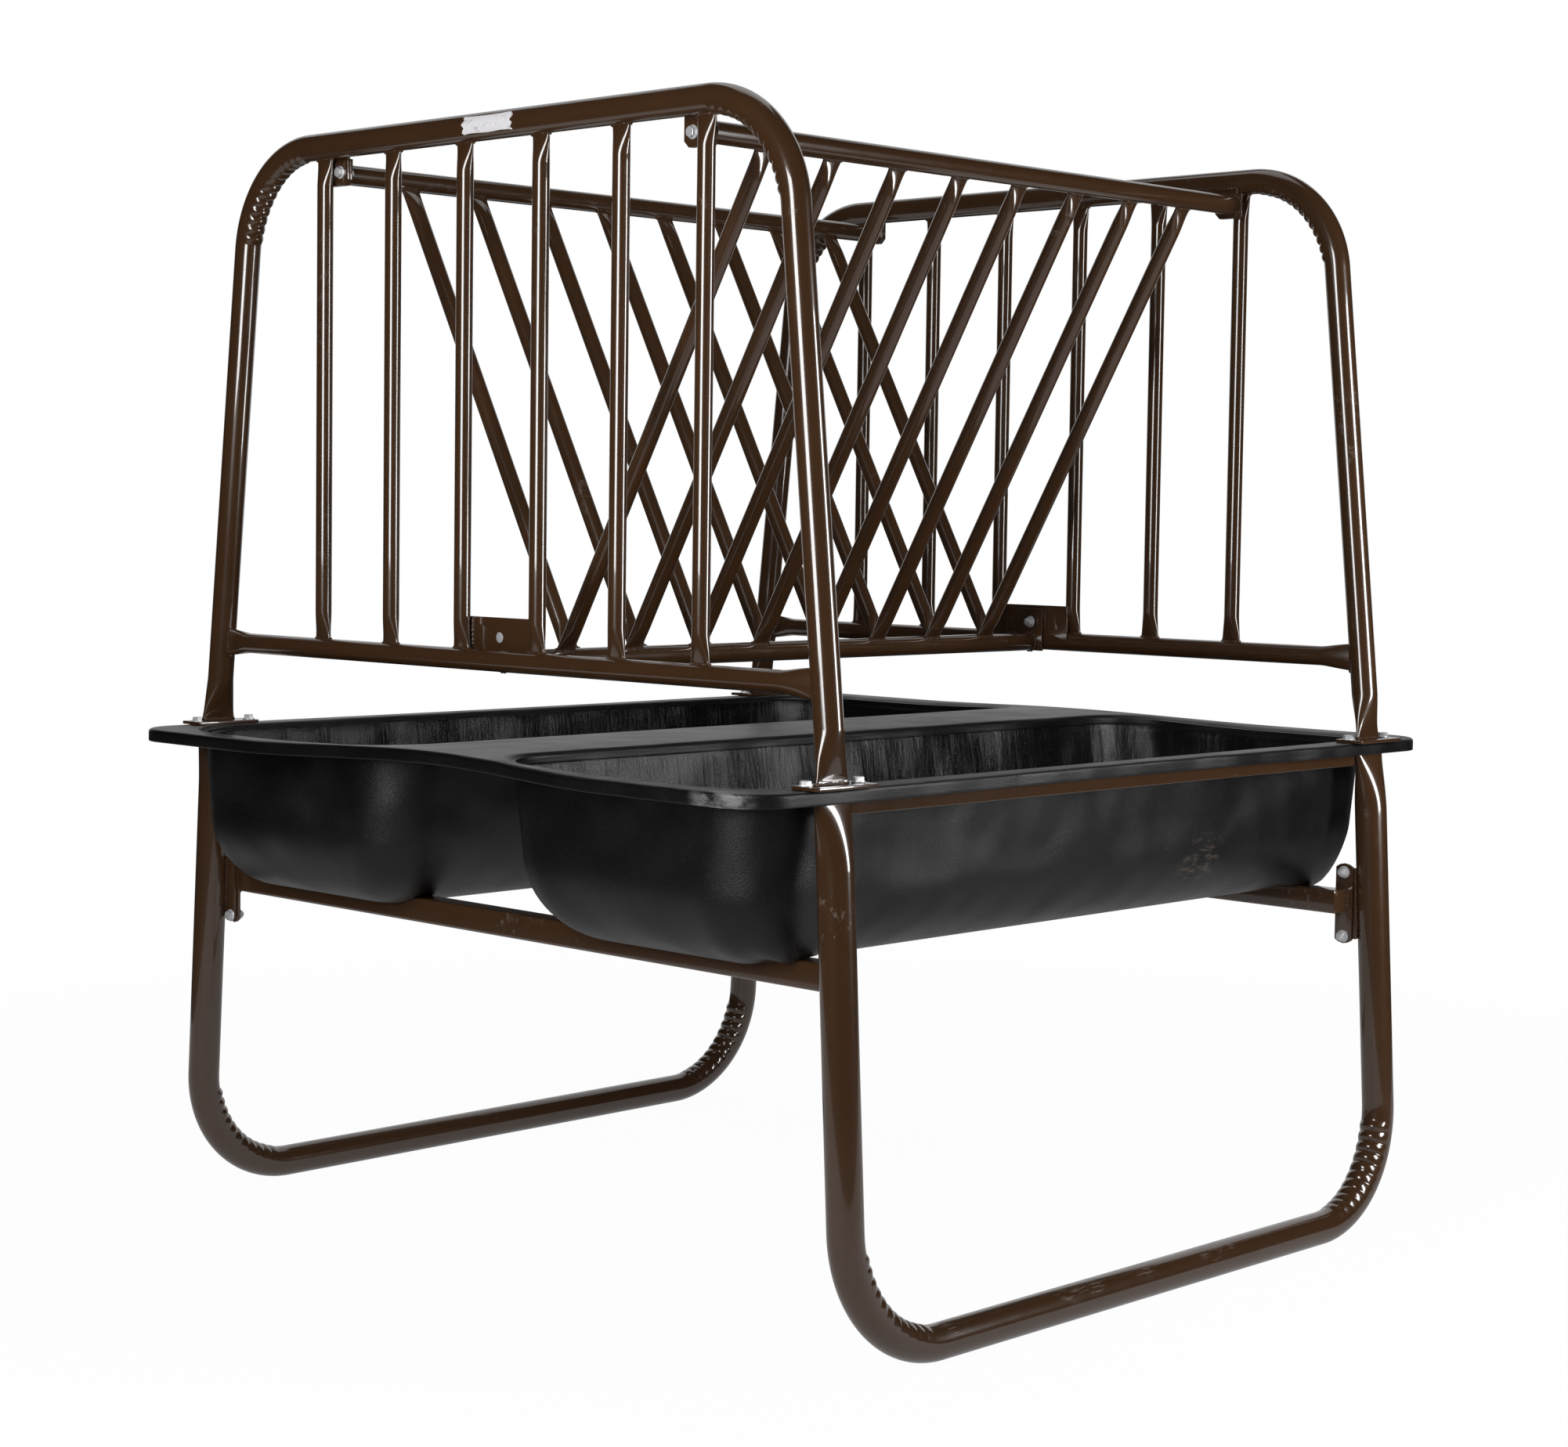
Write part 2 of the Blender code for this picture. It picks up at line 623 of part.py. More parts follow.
def basin_outline(depth, offset):
    """A basin's rounded outline at a depth below the rim; offset grows it to the outer skin."""
    full_depth = RIM_Z - BOTTOM_Z
    floor_depth = full_depth - WALL_T + offset
    shoulder = math.sqrt(max(0.0, 1 - (1 - min(1.0, depth / SHOULDER_DEPTH)) ** 2))
    share = depth / full_depth
    radius = BOTTOM_R - WALL_T + offset
    rise = max(0.0, depth - (floor_depth - radius))
    inset = radius - math.sqrt(max(0.0, radius * radius - rise * rise))
    length = BASIN_HALF_LENGTH - SHOULDER_X * shoulder - END_DRAFT * share - inset + offset
    outer = BASIN_OUTER_Y - SHOULDER_Y * shoulder - OUTER_DRAFT * share - inset + offset
    inner = BASIN_INNER_Y + SHOULDER_Y * shoulder + INNER_DRAFT * share + inset - offset
    tightened = CORNER_TIGHTENING * shoulder + inset - offset
    outer_r = max(MIN_CORNER_R, BASIN_OUTER_CORNER_R - tightened)
    inner_r = max(MIN_CORNER_R, BASIN_INNER_CORNER_R - tightened * INNER_TIGHTENING_SHARE)
    points = arc(length - outer_r, outer - outer_r, outer_r, 0)
    points += [(x, outer) for x in between(length - outer_r, outer_r - length, LONG_STEPS)]
    points += arc(outer_r - length, outer - outer_r, outer_r, 90)
    points += [(-length, y) for y in between(outer - outer_r, inner + inner_r, END_STEPS)]
    points += arc(inner_r - length, inner + inner_r, inner_r, 180)
    points += [(x, inner) for x in between(inner_r - length, length - inner_r, LONG_STEPS)]
    points += arc(length - inner_r, inner + inner_r, inner_r, 270)
    points += [(length, y) for y in between(inner + inner_r, outer - outer_r, END_STEPS)]
    return points


def rim_ring(inset, drop):
    """A ring that follows the rim, a fixed drop below the crowned top surface."""
    return [(x, y, RIM_Z + crown(y) - drop) for x, y in rim_outline(inset)]


def basin_ring(depth, offset, drop=0.0):
    """A ring on a basin's wall; the crown dies out with depth."""
    full_depth = RIM_Z - BOTTOM_Z
    fade = 1 - depth / full_depth
    return [(x, y, RIM_Z - depth - drop + crown(y) * fade) for x, y in basin_outline(depth, offset)]


def basin_depths(offset):
    """Depths of the rings from under the shoulder down to the floor."""
    floor_depth = RIM_Z - BOTTOM_Z - WALL_T + offset
    radius = BOTTOM_R - WALL_T + offset
    wall = [SHOULDER_DEPTH]
    curve = [floor_depth - radius * (1 - math.sin(math.pi / 2 * k / BOTTOM_STEPS)) for k in range(BOTTOM_STEPS + 1)]
    return wall + curve


def build_trough_skin(bm):
    """Both halves of the trough: lip, flange, two basins, and the same surfaces from below."""
    outline_count = len(rim_outline(0.0))
    first_tip = 3 * (CORNER_STEPS + 1) + LONG_STEPS + END_STEPS - 2 + (LONG_STEPS - 1) + CORNER_STEPS // 2
    last_tip = 2 * (CORNER_STEPS + 1) + LONG_STEPS + END_STEPS - 2 + CORNER_STEPS // 2
    edge = [k % outline_count for k in range(first_tip, outline_count + last_tip + 1)]
    whole = list(range(outline_count)) + [0]
    fillet = LIP_FILLET
    slope = fillet * (1 - math.cos(math.radians(45)))
    top = [
        (rim_ring(0.0, LIP_HEIGHT), edge),
        (rim_ring(0.0, fillet), edge),
        (rim_ring(slope, slope), edge),
        (rim_ring(fillet, 0.0), whole),
        (basin_ring(0.0, 0.0), whole),
    ]
    top += [(basin_ring(SHOULDER_DEPTH * share, 0.0), whole) for share in SHOULDER_STEPS]
    top += [(basin_ring(depth, 0.0), whole) for depth in basin_depths(0.0)]
    under = [
        (rim_ring(0.0, LIP_HEIGHT), edge),
        (rim_ring(LIP_T, LIP_HEIGHT), edge),
        (rim_ring(LIP_T, FLANGE_T), whole),
        ([(x, y, RIM_Z + crown(y) - FLANGE_T) for x, y in basin_outline(SHOULDER_DEPTH, WALL_T)], whole),
    ]
    under += [(basin_ring(depth, WALL_T), whole) for depth in basin_depths(WALL_T)]
    for side in (1, -1):
        for stack, upward in ((top, True), (under, False)):
            rows = [[bm.verts.new((x, side * y, z)) for x, y, z in ring] for ring, _ in stack]
            for (row, next_row), (_, path) in zip(zip(rows, rows[1:]), stack):
                for i, j in zip(path, path[1:]):
                    face = (row[i], row[j], next_row[j], next_row[i])
                    bm.faces.new(face if upward == (side > 0) else tuple(reversed(face)))
            last = rows[-1]
            bm.faces.new(last if upward == (side > 0) else list(reversed(last)))
    bmesh.ops.remove_doubles(bm, verts=bm.verts, dist=MERGE_DISTANCE)
    loose = [v for v in bm.verts if not v.link_faces]
    bmesh.ops.delete(bm, geom=loose, context="VERTS")


def build_basin_filler(bm, side):
    """A solid that fills the lower part of one basin out to the middle of its wall."""
    depths = basin_depths(WALL_T / 2)[1:]
    rings = [[(x, side * y, z) for x, y, z in basin_ring(depth, WALL_T / 2)] for depth in depths]
    add_loft(bm, rings)


def build_ridge_block(bm, end, side):
    """A bar with sloping sides: the hump in a basin's floor over a cross member."""
    top_z = MEMBER_TOP_Z + SEAT + WALL_T
    half_top = MEMBER_SIZE / 2 + GROOVE_CLEARANCE + WALL_T
    half_low = half_top + RIDGE_SLOPE
    profile = [(-half_low, BOTTOM_Z - WALL_T), (half_low, BOTTOM_Z - WALL_T), (half_top, top_z), (-half_top, top_z)]
    reach = [side * BASIN_INNER_Y, side * (BASIN_OUTER_Y + WALL_T)]
    add_prism(bm, profile, lambda a, b, depth: (end * MEMBER_X + a, depth, b), *reach)


def foot_bolt_places():
    """Centres of the eight bolts through the foot plates, the flange and the angles."""
    return [
        (end * (FOOT_PLATE_X + step * FOOT_BOLT_SPACING / 2), side * FOOT_PLATE_Y)
        for end in END_SIGNS.values() for side in SIDE_SIGNS.values() for step in (-1, 1)
    ]


def add_hole_tools(bm, places, axis, start, end):
    """Drills for bolt holes along one axis between two depths."""
    radius = BOLT_D / 2 + HOLE_CLEARANCE
    points = circle(radius, HOLE_SIDES)
    for centre in places:
        rings = []
        for depth in (start, end):
            if axis == "X":
                rings.append([(depth, centre[0] + a, centre[1] + b) for a, b in points])
            else:
                rings.append([(centre[0] + a, centre[1] + b, depth) for a, b in points])
        add_loft(bm, rings)


def drill(target, places, axis, start, end, material):
    """Cut bolt holes through a finished solid."""
    tool = new_solid("drill", lambda bm: add_hole_tools(bm, places, axis, start, end), material)
    combine(target, tool, "DIFFERENCE")


def make_trough(material):
    """The twin trough with humps over the cross members and holes for the foot bolts."""
    trough = new_solid("trough", build_trough_skin, material)
    for end in END_SIGNS.values():
        for side in SIDE_SIGNS.values():
            ridge = new_solid("ridge", lambda bm: build_ridge_block(bm, end, side), material)
            filler = new_solid("filler", lambda bm: build_basin_filler(bm, side), material)
            combine(ridge, filler, "INTERSECT")
            combine(trough, ridge, "UNION")
    half = MEMBER_SIZE / 2 + GROOVE_CLEARANCE
    for end in END_SIGNS.values():
        low = (end * MEMBER_X - half, -RIM_HALF_WIDTH, BOTTOM_Z - MEMBER_SIZE)
        high = (end * MEMBER_X + half, RIM_HALF_WIDTH, MEMBER_TOP_Z + SEAT)
        groove = new_solid("groove", lambda bm: add_box(bm, low, high), material)
        combine(trough, groove, "DIFFERENCE")
    drill(trough, foot_bolt_places(), "Z", RIM_Z - LIP_HEIGHT, RIM_Z + LIP_HEIGHT, material)


# Plates, angles and members

def make_angle(name, side, material):
    """A steel angle under a long flange: the web stops behind the leg tops, the flange runs on."""
    face = ANGLE_FACE_Y
    inner = face - ANGLE_LEG
    low = ANGLE_TOP_Z - ANGLE_LEG
    web_y = face - ANGLE_T
    shelf_z = ANGLE_TOP_Z - ANGLE_T
    profile = [
        (face, ANGLE_TOP_Z), (inner, ANGLE_TOP_Z), (inner, shelf_z), (web_y, shelf_z), (web_y, low), (face, low),
    ]

    def place(a, b, depth):
        return (depth, side * a, b)

    half = ANGLE_HALF_LENGTH
    angle = new_solid(name, lambda bm: add_prism(bm, profile, place, -half, half), material)
    for end in END_SIGNS.values():
        near = end * ANGLE_WEB_HALF_LENGTH
        far = end * (half + ANGLE_T)
        edges = sorted((side * inner, side * (face + ANGLE_T)))
        start, stop = sorted((near, far))
        corners = ((start, edges[0], low - ANGLE_T), (stop, edges[1], shelf_z))
        notch = new_solid("notch", lambda bm: add_box(bm, *corners), material)
        combine(angle, notch, "DIFFERENCE")
    places = [p for p in foot_bolt_places() if p[1] * side > 0]
    drill(angle, places, "Z", shelf_z - ANGLE_T, ANGLE_TOP_Z + ANGLE_T, material)


def make_foot_plate(name, end, side, material):
    """The plate under an end hoop's foot, with two bolt holes."""
    low = (end * FOOT_PLATE_X - FOOT_PLATE_LENGTH / 2, side * FOOT_PLATE_Y - FOOT_PLATE_WIDTH / 2, FOOT_PLATE_LOW_Z)
    high = (end * FOOT_PLATE_X + FOOT_PLATE_LENGTH / 2, side * FOOT_PLATE_Y + FOOT_PLATE_WIDTH / 2, FOOT_PLATE_TOP_Z)
    plate = new_solid(name, lambda bm: add_box(bm, low, high), material)
    places = [p for p in foot_bolt_places() if p[0] * end > 0 and p[1] * side > 0]
    drill(plate, places, "Z", FOOT_PLATE_LOW_Z - FOOT_PLATE_T, FOOT_PLATE_TOP_Z + FOOT_PLATE_T, material)


def crowned_plate(inner_y, outer_y):
    """Outline of a member plate in y and z: straight sides, gently arched top and bottom edges.

    outer_y(z) gives the outer side, which leans where it follows a leg.
    """
    low = MEMBER_PLATE_LOW_Z + MEMBER_PLATE_CROWN
    high = MEMBER_PLATE_HIGH_Z - MEMBER_PLATE_CROWN
    shares = (0.0, 0.25, 0.5, 0.75, 1.0)
    points = []
    for share in shares:
        rise = MEMBER_PLATE_CROWN * (1 - (2 * share - 1) ** 2)
        points.append((inner_y + (outer_y(low) - inner_y) * share, low - rise))
    for share in reversed(shares):
        rise = MEMBER_PLATE_CROWN * (1 - (2 * share - 1) ** 2)
        points.append((inner_y + (outer_y(high) - inner_y) * share, high + rise))
    return points


def crossing_plate(bm, outline, end, near_x):
    """A plate that stands across X: its outline is in y and z, its near face at near_x from the middle."""
    add_prism(bm, outline, lambda a, b, depth: (end * depth, a, b), near_x, near_x + PLATE_T)


def weld(target, build, material):
    """Join a plate to the piece that carries it."""
    plate = new_solid("plate", build, material)
    combine(target, plate, "UNION")


def drill_plates(target, places, end, near_x, material):
    """Bolt holes through plates that stand across X."""
    drill(target, places, "X", end * (near_x - PLATE_T), end * (near_x + 2 * PLATE_T), material)


def member_bolt_places(side):
    """Centres, across and up, of the two bolts at one end of a cross member."""
    return [(side * MEMBER_BOLT_Y, z) for z in MEMBER_BOLT_ZS]


def leg_tab_edge(z):
    """Outer side of a leg tab: it runs just into the leg's round face."""
    across = LEG_X - LEG_TAB_X - PLATE_T
    reach = math.sqrt(flat_radius(LEG_TUBE_D / 2, LEG_SIDES) ** 2 - across ** 2)
    return leg_y(z) - reach + WELD_OVERLAP


def make_leg_hoop(name, side, material):
    """A lower hoop with the drilled tab welded to each leg."""
    hoop = new_solid(name, lambda bm: build_leg_hoop(bm, side), material)
    outline = [(side * y, z) for y, z in crowned_plate(MEMBER_PLATE_INNER_Y, leg_tab_edge)]
    for end in END_SIGNS.values():
        weld(hoop, lambda bm: crossing_plate(bm, outline, end, LEG_TAB_X), material)
        drill_plates(hoop, member_bolt_places(side), end, LEG_TAB_X, material)


def make_member(name, end, material):
    """A square cross member under the trough, with a drilled plate welded on at each end."""
    half = MEMBER_SIZE / 2
    low = (end * MEMBER_X - half, -MEMBER_HALF_LENGTH, MEMBER_TOP_Z - MEMBER_SIZE)
    high = (end * MEMBER_X + half, MEMBER_HALF_LENGTH, MEMBER_TOP_Z)
    member = new_solid(name, lambda bm: add_box(bm, low, high), material)
    for side in SIDE_SIGNS.values():
        outline = [(side * y, z) for y, z in crowned_plate(MEMBER_PLATE_INNER_Y, lambda z: MEMBER_PLATE_OUTER_Y)]
        weld(member, lambda bm: crossing_plate(bm, outline, end, MEMBER_PLATE_X), material)
        drill_plates(member, member_bolt_places(side), end, MEMBER_PLATE_X, material)


def rectangle(y_edges, low_z, high_z):
    """Outline of an upright plate between two sides and two heights."""
    near, far = sorted(y_edges)
    return [(near, low_z), (far, low_z), (far, high_z), (near, high_z)]


def rack_bolt_y(side):
    """Place across the feeder of the bolt beside a rack's top rail, towards the middle."""
    return rack_side_y(side) - side * RACK_BOLT_OFFSET


def top_plate_span(side):
    """Outer and inner edge, across the feeder, of the plate on a rack's top rail."""
    outer = rack_side_y(side) + side * RACK_PLATE_OVERHANG
    return outer, outer - side * RACK_PLATE_WIDTH


def make_top_rail(name, side, material):
    """A top rail of the rack with the drilled plate welded to each end."""
    y = rack_side_y(side)
    rail = new_solid(name, lambda bm: build_rack_rail(bm, y, RACK_TOP_Z, RACK_RAIL_END_X), material)
    half_height = RACK_PLATE_HEIGHT / 2
    outline = rectangle(top_plate_span(side), RACK_TOP_Z - half_height, RACK_TOP_Z + half_height)
    for end in END_SIGNS.values():
        weld(rail, lambda bm: crossing_plate(bm, outline, end, RACK_PLATE_X), material)
        drill_plates(rail, [(rack_bolt_y(side), RACK_TOP_Z)], end, RACK_PLATE_X, material)


def make_bottom_rail(name, material):
    """The rack's bottom rail with the drilled plate welded to each end."""
    rail = new_solid(name, lambda bm: build_rack_rail(bm, 0.0, RACK_BOTTOM_Z, LOW_RAIL_END_X), material)
    half = LOW_PLATE_WIDTH / 2
    outline = rectangle((-half, half), RACK_BOTTOM_Z - RAIL_TUBE_D / 2, LOW_PLATE_HIGH_Z)
    for end in END_SIGNS.values():
        weld(rail, lambda bm: crossing_plate(bm, outline, end, LOW_PLATE_X), material)
        drill_plates(rail, [(LOW_BOLT_Y, LOW_BOLT_Z)], end, LOW_PLATE_X, material)


def make_end_hoop(name, end, material):
    """An end hoop with the two hangers for the rack under its top rail."""
    hoop = new_solid(name, lambda bm: build_end_hoop(bm, end), material)
    offset = FRAME_X - TOP_TAB_X
    reach = math.sqrt(flat_radius(FRAME_TUBE_D / 2, FRAME_SIDES) ** 2 - offset ** 2)
    high = FRAME_TOP_Z - reach + WELD_OVERLAP
    low = RACK_TOP_Z - RACK_PLATE_HEIGHT / 2
    cut = TOP_TAB_CHAMFER
    for side in SIDE_SIGNS.values():
        inner = top_plate_span(side)[1]
        outer = inner + side * TOP_TAB_WIDTH
        outline = [(inner, low), (outer - side * cut, low), (outer, low + cut), (outer, high), (inner, high)]
        weld(hoop, lambda bm: crossing_plate(bm, outline, end, TOP_TAB_X), material)
        drill_plates(hoop, [(rack_bolt_y(side), RACK_TOP_Z)], end, TOP_TAB_X, material)


def make_end_rail(name, end, material):
    """The cross rail of an end frame with the wide plate that takes the rack's lower bolt."""
    rail = new_solid(name, lambda bm: build_end_rail(bm, end), material)
    middle = END_BARS // 2
    edges = (end_bar_y(end, middle - 1), end_bar_y(end, middle))
    outline = rectangle(edges, END_RAIL_Z, END_RAIL_Z + LOW_TAB_HEIGHT)
    weld(rail, lambda bm: crossing_plate(bm, outline, end, LOW_TAB_X), material)
    drill_plates(rail, [(LOW_BOLT_Y, LOW_BOLT_Z)], end, LOW_TAB_X, material)


# Fasteners

def even_points(diameter, sides):
    """Corners of an even polygon of a diameter."""
    turn = 0.5 if sides == BOLT_SIDES else 0.0
    angles = [2 * math.pi * (k + turn) / sides for k in range(sides)]
    return [(diameter / 2 * math.cos(a), diameter / 2 * math.sin(a)) for a in angles]


def hexagon(flats, sides):
    """Points round a hexagon with a flat facing the first axis: its corners, or corners and middles."""
    points = []
    for a, b in even_points(1.0, sides):
        angle = math.atan2(b, a)
        from_flat = (angle + math.pi / 6) % (math.pi / 3) - math.pi / 6
        reach = flats / 2 / math.cos(from_flat)
        points.append((reach * math.cos(angle), reach * math.sin(angle)))
    return points


def build_bolt(bm, seat, axis, grip, dome):
    """A bolt with its nut run up: seat is under the head, grip the thickness of what it clamps."""
    axis = Vector(axis)
    first = Vector((0, 1, 0))
    second = axis.cross(first)
    sides = DOME_BOLT_SIDES if dome else BOLT_SIDES
    shank = even_points(BOLT_D, sides)
    nut = hexagon(HEAD_FLATS, sides)
    near = -(grip + SEAT)
    far = near - NUT_HEIGHT
    stack = [(shank, far - TIP_LENGTH), (shank, far), (nut, far), (nut, near), (shank, near), (shank, SEAT)]
    if dome:
        stack += [(even_points(wide * DOME_D, sides), SEAT + high * DOME_HEIGHT) for wide, high in DOME_STEPS]
    else:
        stack += [(nut, SEAT), (nut, SEAT + HEAD_HEIGHT)]
    base = Vector(seat)
    add_loft(bm, [[base + axis * height + first * a + second * b for a, b in points] for points, height in stack])


def make_bolts(material):
    """The bolts of the foot plates and of the rack, each with its nut."""
    grip = FOOT_PLATE_TOP_Z - (ANGLE_TOP_Z - ANGLE_T)
    for index, (x, y) in enumerate(foot_bolt_places()):
        seat = (x, y, FOOT_PLATE_TOP_Z)
        new_solid(f"foot_bolt_{index + 1}", lambda bm: build_bolt(bm, seat, (0, 0, 1), grip, False), material)
    grip = 2 * PLATE_T + SEAT
    for end_name, end in END_SIGNS.items():
        for side_name, side in SIDE_SIGNS.items():
            seat = (end * (TOP_TAB_X + PLATE_T), rack_bolt_y(side), RACK_TOP_Z)
            name = f"rack_bolt_{end_name}_{side_name}"
            new_solid(name, lambda bm: build_bolt(bm, seat, (end, 0, 0), grip, False), material)
        seat = (end * (LOW_TAB_X + PLATE_T), LOW_BOLT_Y, LOW_BOLT_Z)
        name = f"carriage_bolt_{end_name}"
        new_solid(name, lambda bm: build_bolt(bm, seat, (end, 0, 0), grip, True), material)


# Assembly

def clear_scene():
    """Remove whatever the scene holds."""
    for obj in list(bpy.data.objects):
        bpy.data.objects.remove(obj)


def main():
    """Build every piece of the feeder."""
    clear_scene()
    coat = make_material("brown_powder_coat", (0.045, 0.022, 0.010), 0.35, 0.0)
    poly = make_material("black_poly", (0.012, 0.012, 0.013), 0.55, 0.0)
    zinc = make_material("bright_zinc", (0.70, 0.70, 0.72), 0.30, 1.0)
    make_trough(poly)
    for side_name, side in SIDE_SIGNS.items():
        make_leg_hoop(f"leg_hoop_{side_name}", side, coat)
        make_angle(f"trough_angle_{side_name}", side, coat)
        make_top_rail(f"rack_top_rail_{side_name}", side, coat)
        for index in range(RACK_BARS):
            new_solid(f"rack_bar_{side_name}_{index + 1}", lambda bm: build_rack_bar(bm, side, index), coat)
    make_bottom_rail("rack_bottom_rail", coat)
    for end_name, end in END_SIGNS.items():
        make_member(f"cross_member_{end_name}", end, coat)
        make_end_hoop(f"end_hoop_{end_name}", end, coat)
        make_end_rail(f"end_rail_{end_name}", end, coat)
        for index in range(END_BARS):
            new_solid(f"end_bar_{end_name}_{index + 1}", lambda bm: build_end_bar(bm, end, index), coat)
        for side_name, side in SIDE_SIGNS.items():
            make_foot_plate(f"foot_plate_{end_name}_{side_name}", end, side, coat)
    make_bolts(zinc)


if __name__ == "__main__":
    main()
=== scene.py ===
"""Looks of a double horse feeder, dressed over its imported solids.

Run as a script. Lengths are in metres. X runs along the trough, Y across it, Z up from the floor.
"""
import json
import math

import bmesh
import bpy
import numpy as np
from mathutils import Matrix, Vector


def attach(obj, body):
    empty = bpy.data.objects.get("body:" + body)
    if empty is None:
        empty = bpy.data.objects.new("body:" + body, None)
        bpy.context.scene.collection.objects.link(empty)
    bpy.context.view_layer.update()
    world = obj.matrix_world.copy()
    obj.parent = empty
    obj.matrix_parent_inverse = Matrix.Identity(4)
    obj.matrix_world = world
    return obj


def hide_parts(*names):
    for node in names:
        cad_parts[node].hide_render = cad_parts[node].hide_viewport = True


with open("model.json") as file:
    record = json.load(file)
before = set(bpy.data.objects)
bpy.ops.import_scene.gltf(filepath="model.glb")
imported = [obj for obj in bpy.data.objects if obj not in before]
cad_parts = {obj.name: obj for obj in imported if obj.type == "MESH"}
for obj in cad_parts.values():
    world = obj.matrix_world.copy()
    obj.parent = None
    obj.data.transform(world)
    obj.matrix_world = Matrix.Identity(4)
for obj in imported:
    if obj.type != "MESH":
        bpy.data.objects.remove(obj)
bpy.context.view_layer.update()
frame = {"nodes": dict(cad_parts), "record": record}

bl_info = {
    "name": "Horse feeder",
    "version": (1, 0, 0),
    "blender": (4, 5, 0),
    "location": "3D View > Sidebar > Feeder",
    "description": "Builds the surfaces, finishes and studio of a double horse feeder",
    "category": "Object",
}

BODY = "root"
COAT, POLY, ZINC = "brown_powder_coat", "black_poly", "bright_zinc"
WELD, LABEL = "coated_weld", "label_film"
SIDES = (("front", -1), ("back", 1))
ENDS = (("left", -1), ("right", 1))
ALONG, ACROSS, UP = np.eye(3)

# Tubes: diameters, pressed ends and crush ripples (number, first and last angle in degrees)
LEG_D = 0.0508
FRAME_D = 0.0413
RAIL_D = 0.03175
BAR_D = 0.0254
PINCH_T = 0.005
RAIL_PINCH_T = 0.008
BAR_PINCH = 0.044
END_RAIL_PINCH = 0.060
PLAIN_END = 0.02
OVERLAP = 0.001
LEG_RIPPLES = (11, 10, 80)
FRAME_RIPPLES = (13, 4, 80)

# Lower hoops; a pinch is its length, its level part and its ease
LEG_X = 0.637
GROUND_RAIL_Y = 0.739
LEG_LEAN = 0.0585
LEG_BEND_R = 0.178
LEG_TOP_Z = 0.7822
LEG_TOP_Y = 0.6933
LEG_PINCH = (0.105, 0.0, 1.9)
LEG_SHIFT_Z = (0.68, 0.78)
TAB_X = 0.61575
TAB_Z = (0.466, 0.582)
TAB_OUTER = (0.695, 0.690)
TAB_CORNER_R = 0.004
TAB_GAP = 0.004

# End hoops, their rails and bars
FRAME_X = 0.636
FRAME_TOP_Z = 1.7064
FRAME_CORNER_Y = 0.5957
FRAME_FOOT_Y = 0.69187
FRAME_FOOT_Z = 0.7931
FRAME_BEND_R = 0.168
FRAME_PINCH = (0.072, 0.005, 1.35)
FRAME_SPREAD = (FRAME_FOOT_Y - FRAME_CORNER_Y) / (FRAME_TOP_Z - FRAME_FOOT_Z)
END_RAIL_Z = 0.9234
END_RAIL_IN = 0.002
END_PLATE_X = 0.6196
END_PLATE_HEIGHT = 0.0636
END_BARS = 6
END_BAR_PITCH = 0.16975
END_BAR_SHIFT = {"left": -0.017, "right": 0.005}
END_BAR_HALF_FOOT = 0.017

# Hay rack
RACK_TOP_Z = 1.666
RACK_BOTTOM_Z = 0.922
RACK_Y = {"front": -0.4215, "back": 0.4065}
RACK_BARS = 8
RACK_BAR_PITCH = 0.1397
RACK_BAR_SHIFT = {"front": -0.008, "back": 0.014}
RACK_RAIL_END_X = 0.61315
RACK_PLATE_X = 0.61255
BOTTOM_RAIL_END_X = 0.6149
BOTTOM_PLATE_X = 0.6143
BOTTOM_PLATE_HALF = 0.028
BOTTOM_PLATE_TOP = 0.981
HANGER_X = 0.61785
HANGER_IN = 0.0385
HANGER_WIDTH = 0.0405
HANGER_ABOVE = 0.030
RACK_PLATE_WIDTH = 0.0545
RACK_PLATE_HALF = 0.0205
PLATE_CUT = 0.009

# Plates
PLATE_T = 0.005
PLATE_EDGE = 0.0008
PLATE_CORNER_R = 0.0015
PLATE_INNER = {"left": 0.663, "right": 0.655}

# Trough: rim, lip, basins
RIM_Z = 0.7875
RIM_HALF_LENGTH = 0.796
RIM_HALF_WIDTH = 0.7045
RIM_CORNER_R = 0.074
SIDE_BOW = 0.0094
END_DRAW_IN = (0.039, 0.442)
CROWN = (0.0085, 0.424)
LIP_HEIGHT = 0.0195
LIP_T = 0.0042
LIP_FILLET = 0.0055
FLANGE_T = 0.005
WALL_T = 0.0052
BASIN_HALF_LENGTH = 0.759
BASIN_OUTER_Y = 0.661
BASIN_INNER_Y = 0.102
BASIN_MIDDLE_Y = 0.38
BASIN_DEPTH = 0.2525
SHOULDER_X = 0.033
SHOULDER_Y = 0.008
SHOULDER_DEPTH = 0.026
LENGTH_DRAFT = 0.003
OUTER_DRAFT = 0.025
INNER_DRAFT = 0.040
OUTER_CORNER_R = 0.125
INNER_CORNER_R = 0.105
LEAST_CORNER_R = 0.016
BOTTOM_R = 0.111
CENTRE_CORNER = 0.095
STRAIGHT_HALF = 0.5
RIGHT_END_GAIN = 0.010
RIGHT_END_FROM = 0.62
RIGHT_END_LENGTH = 0.12

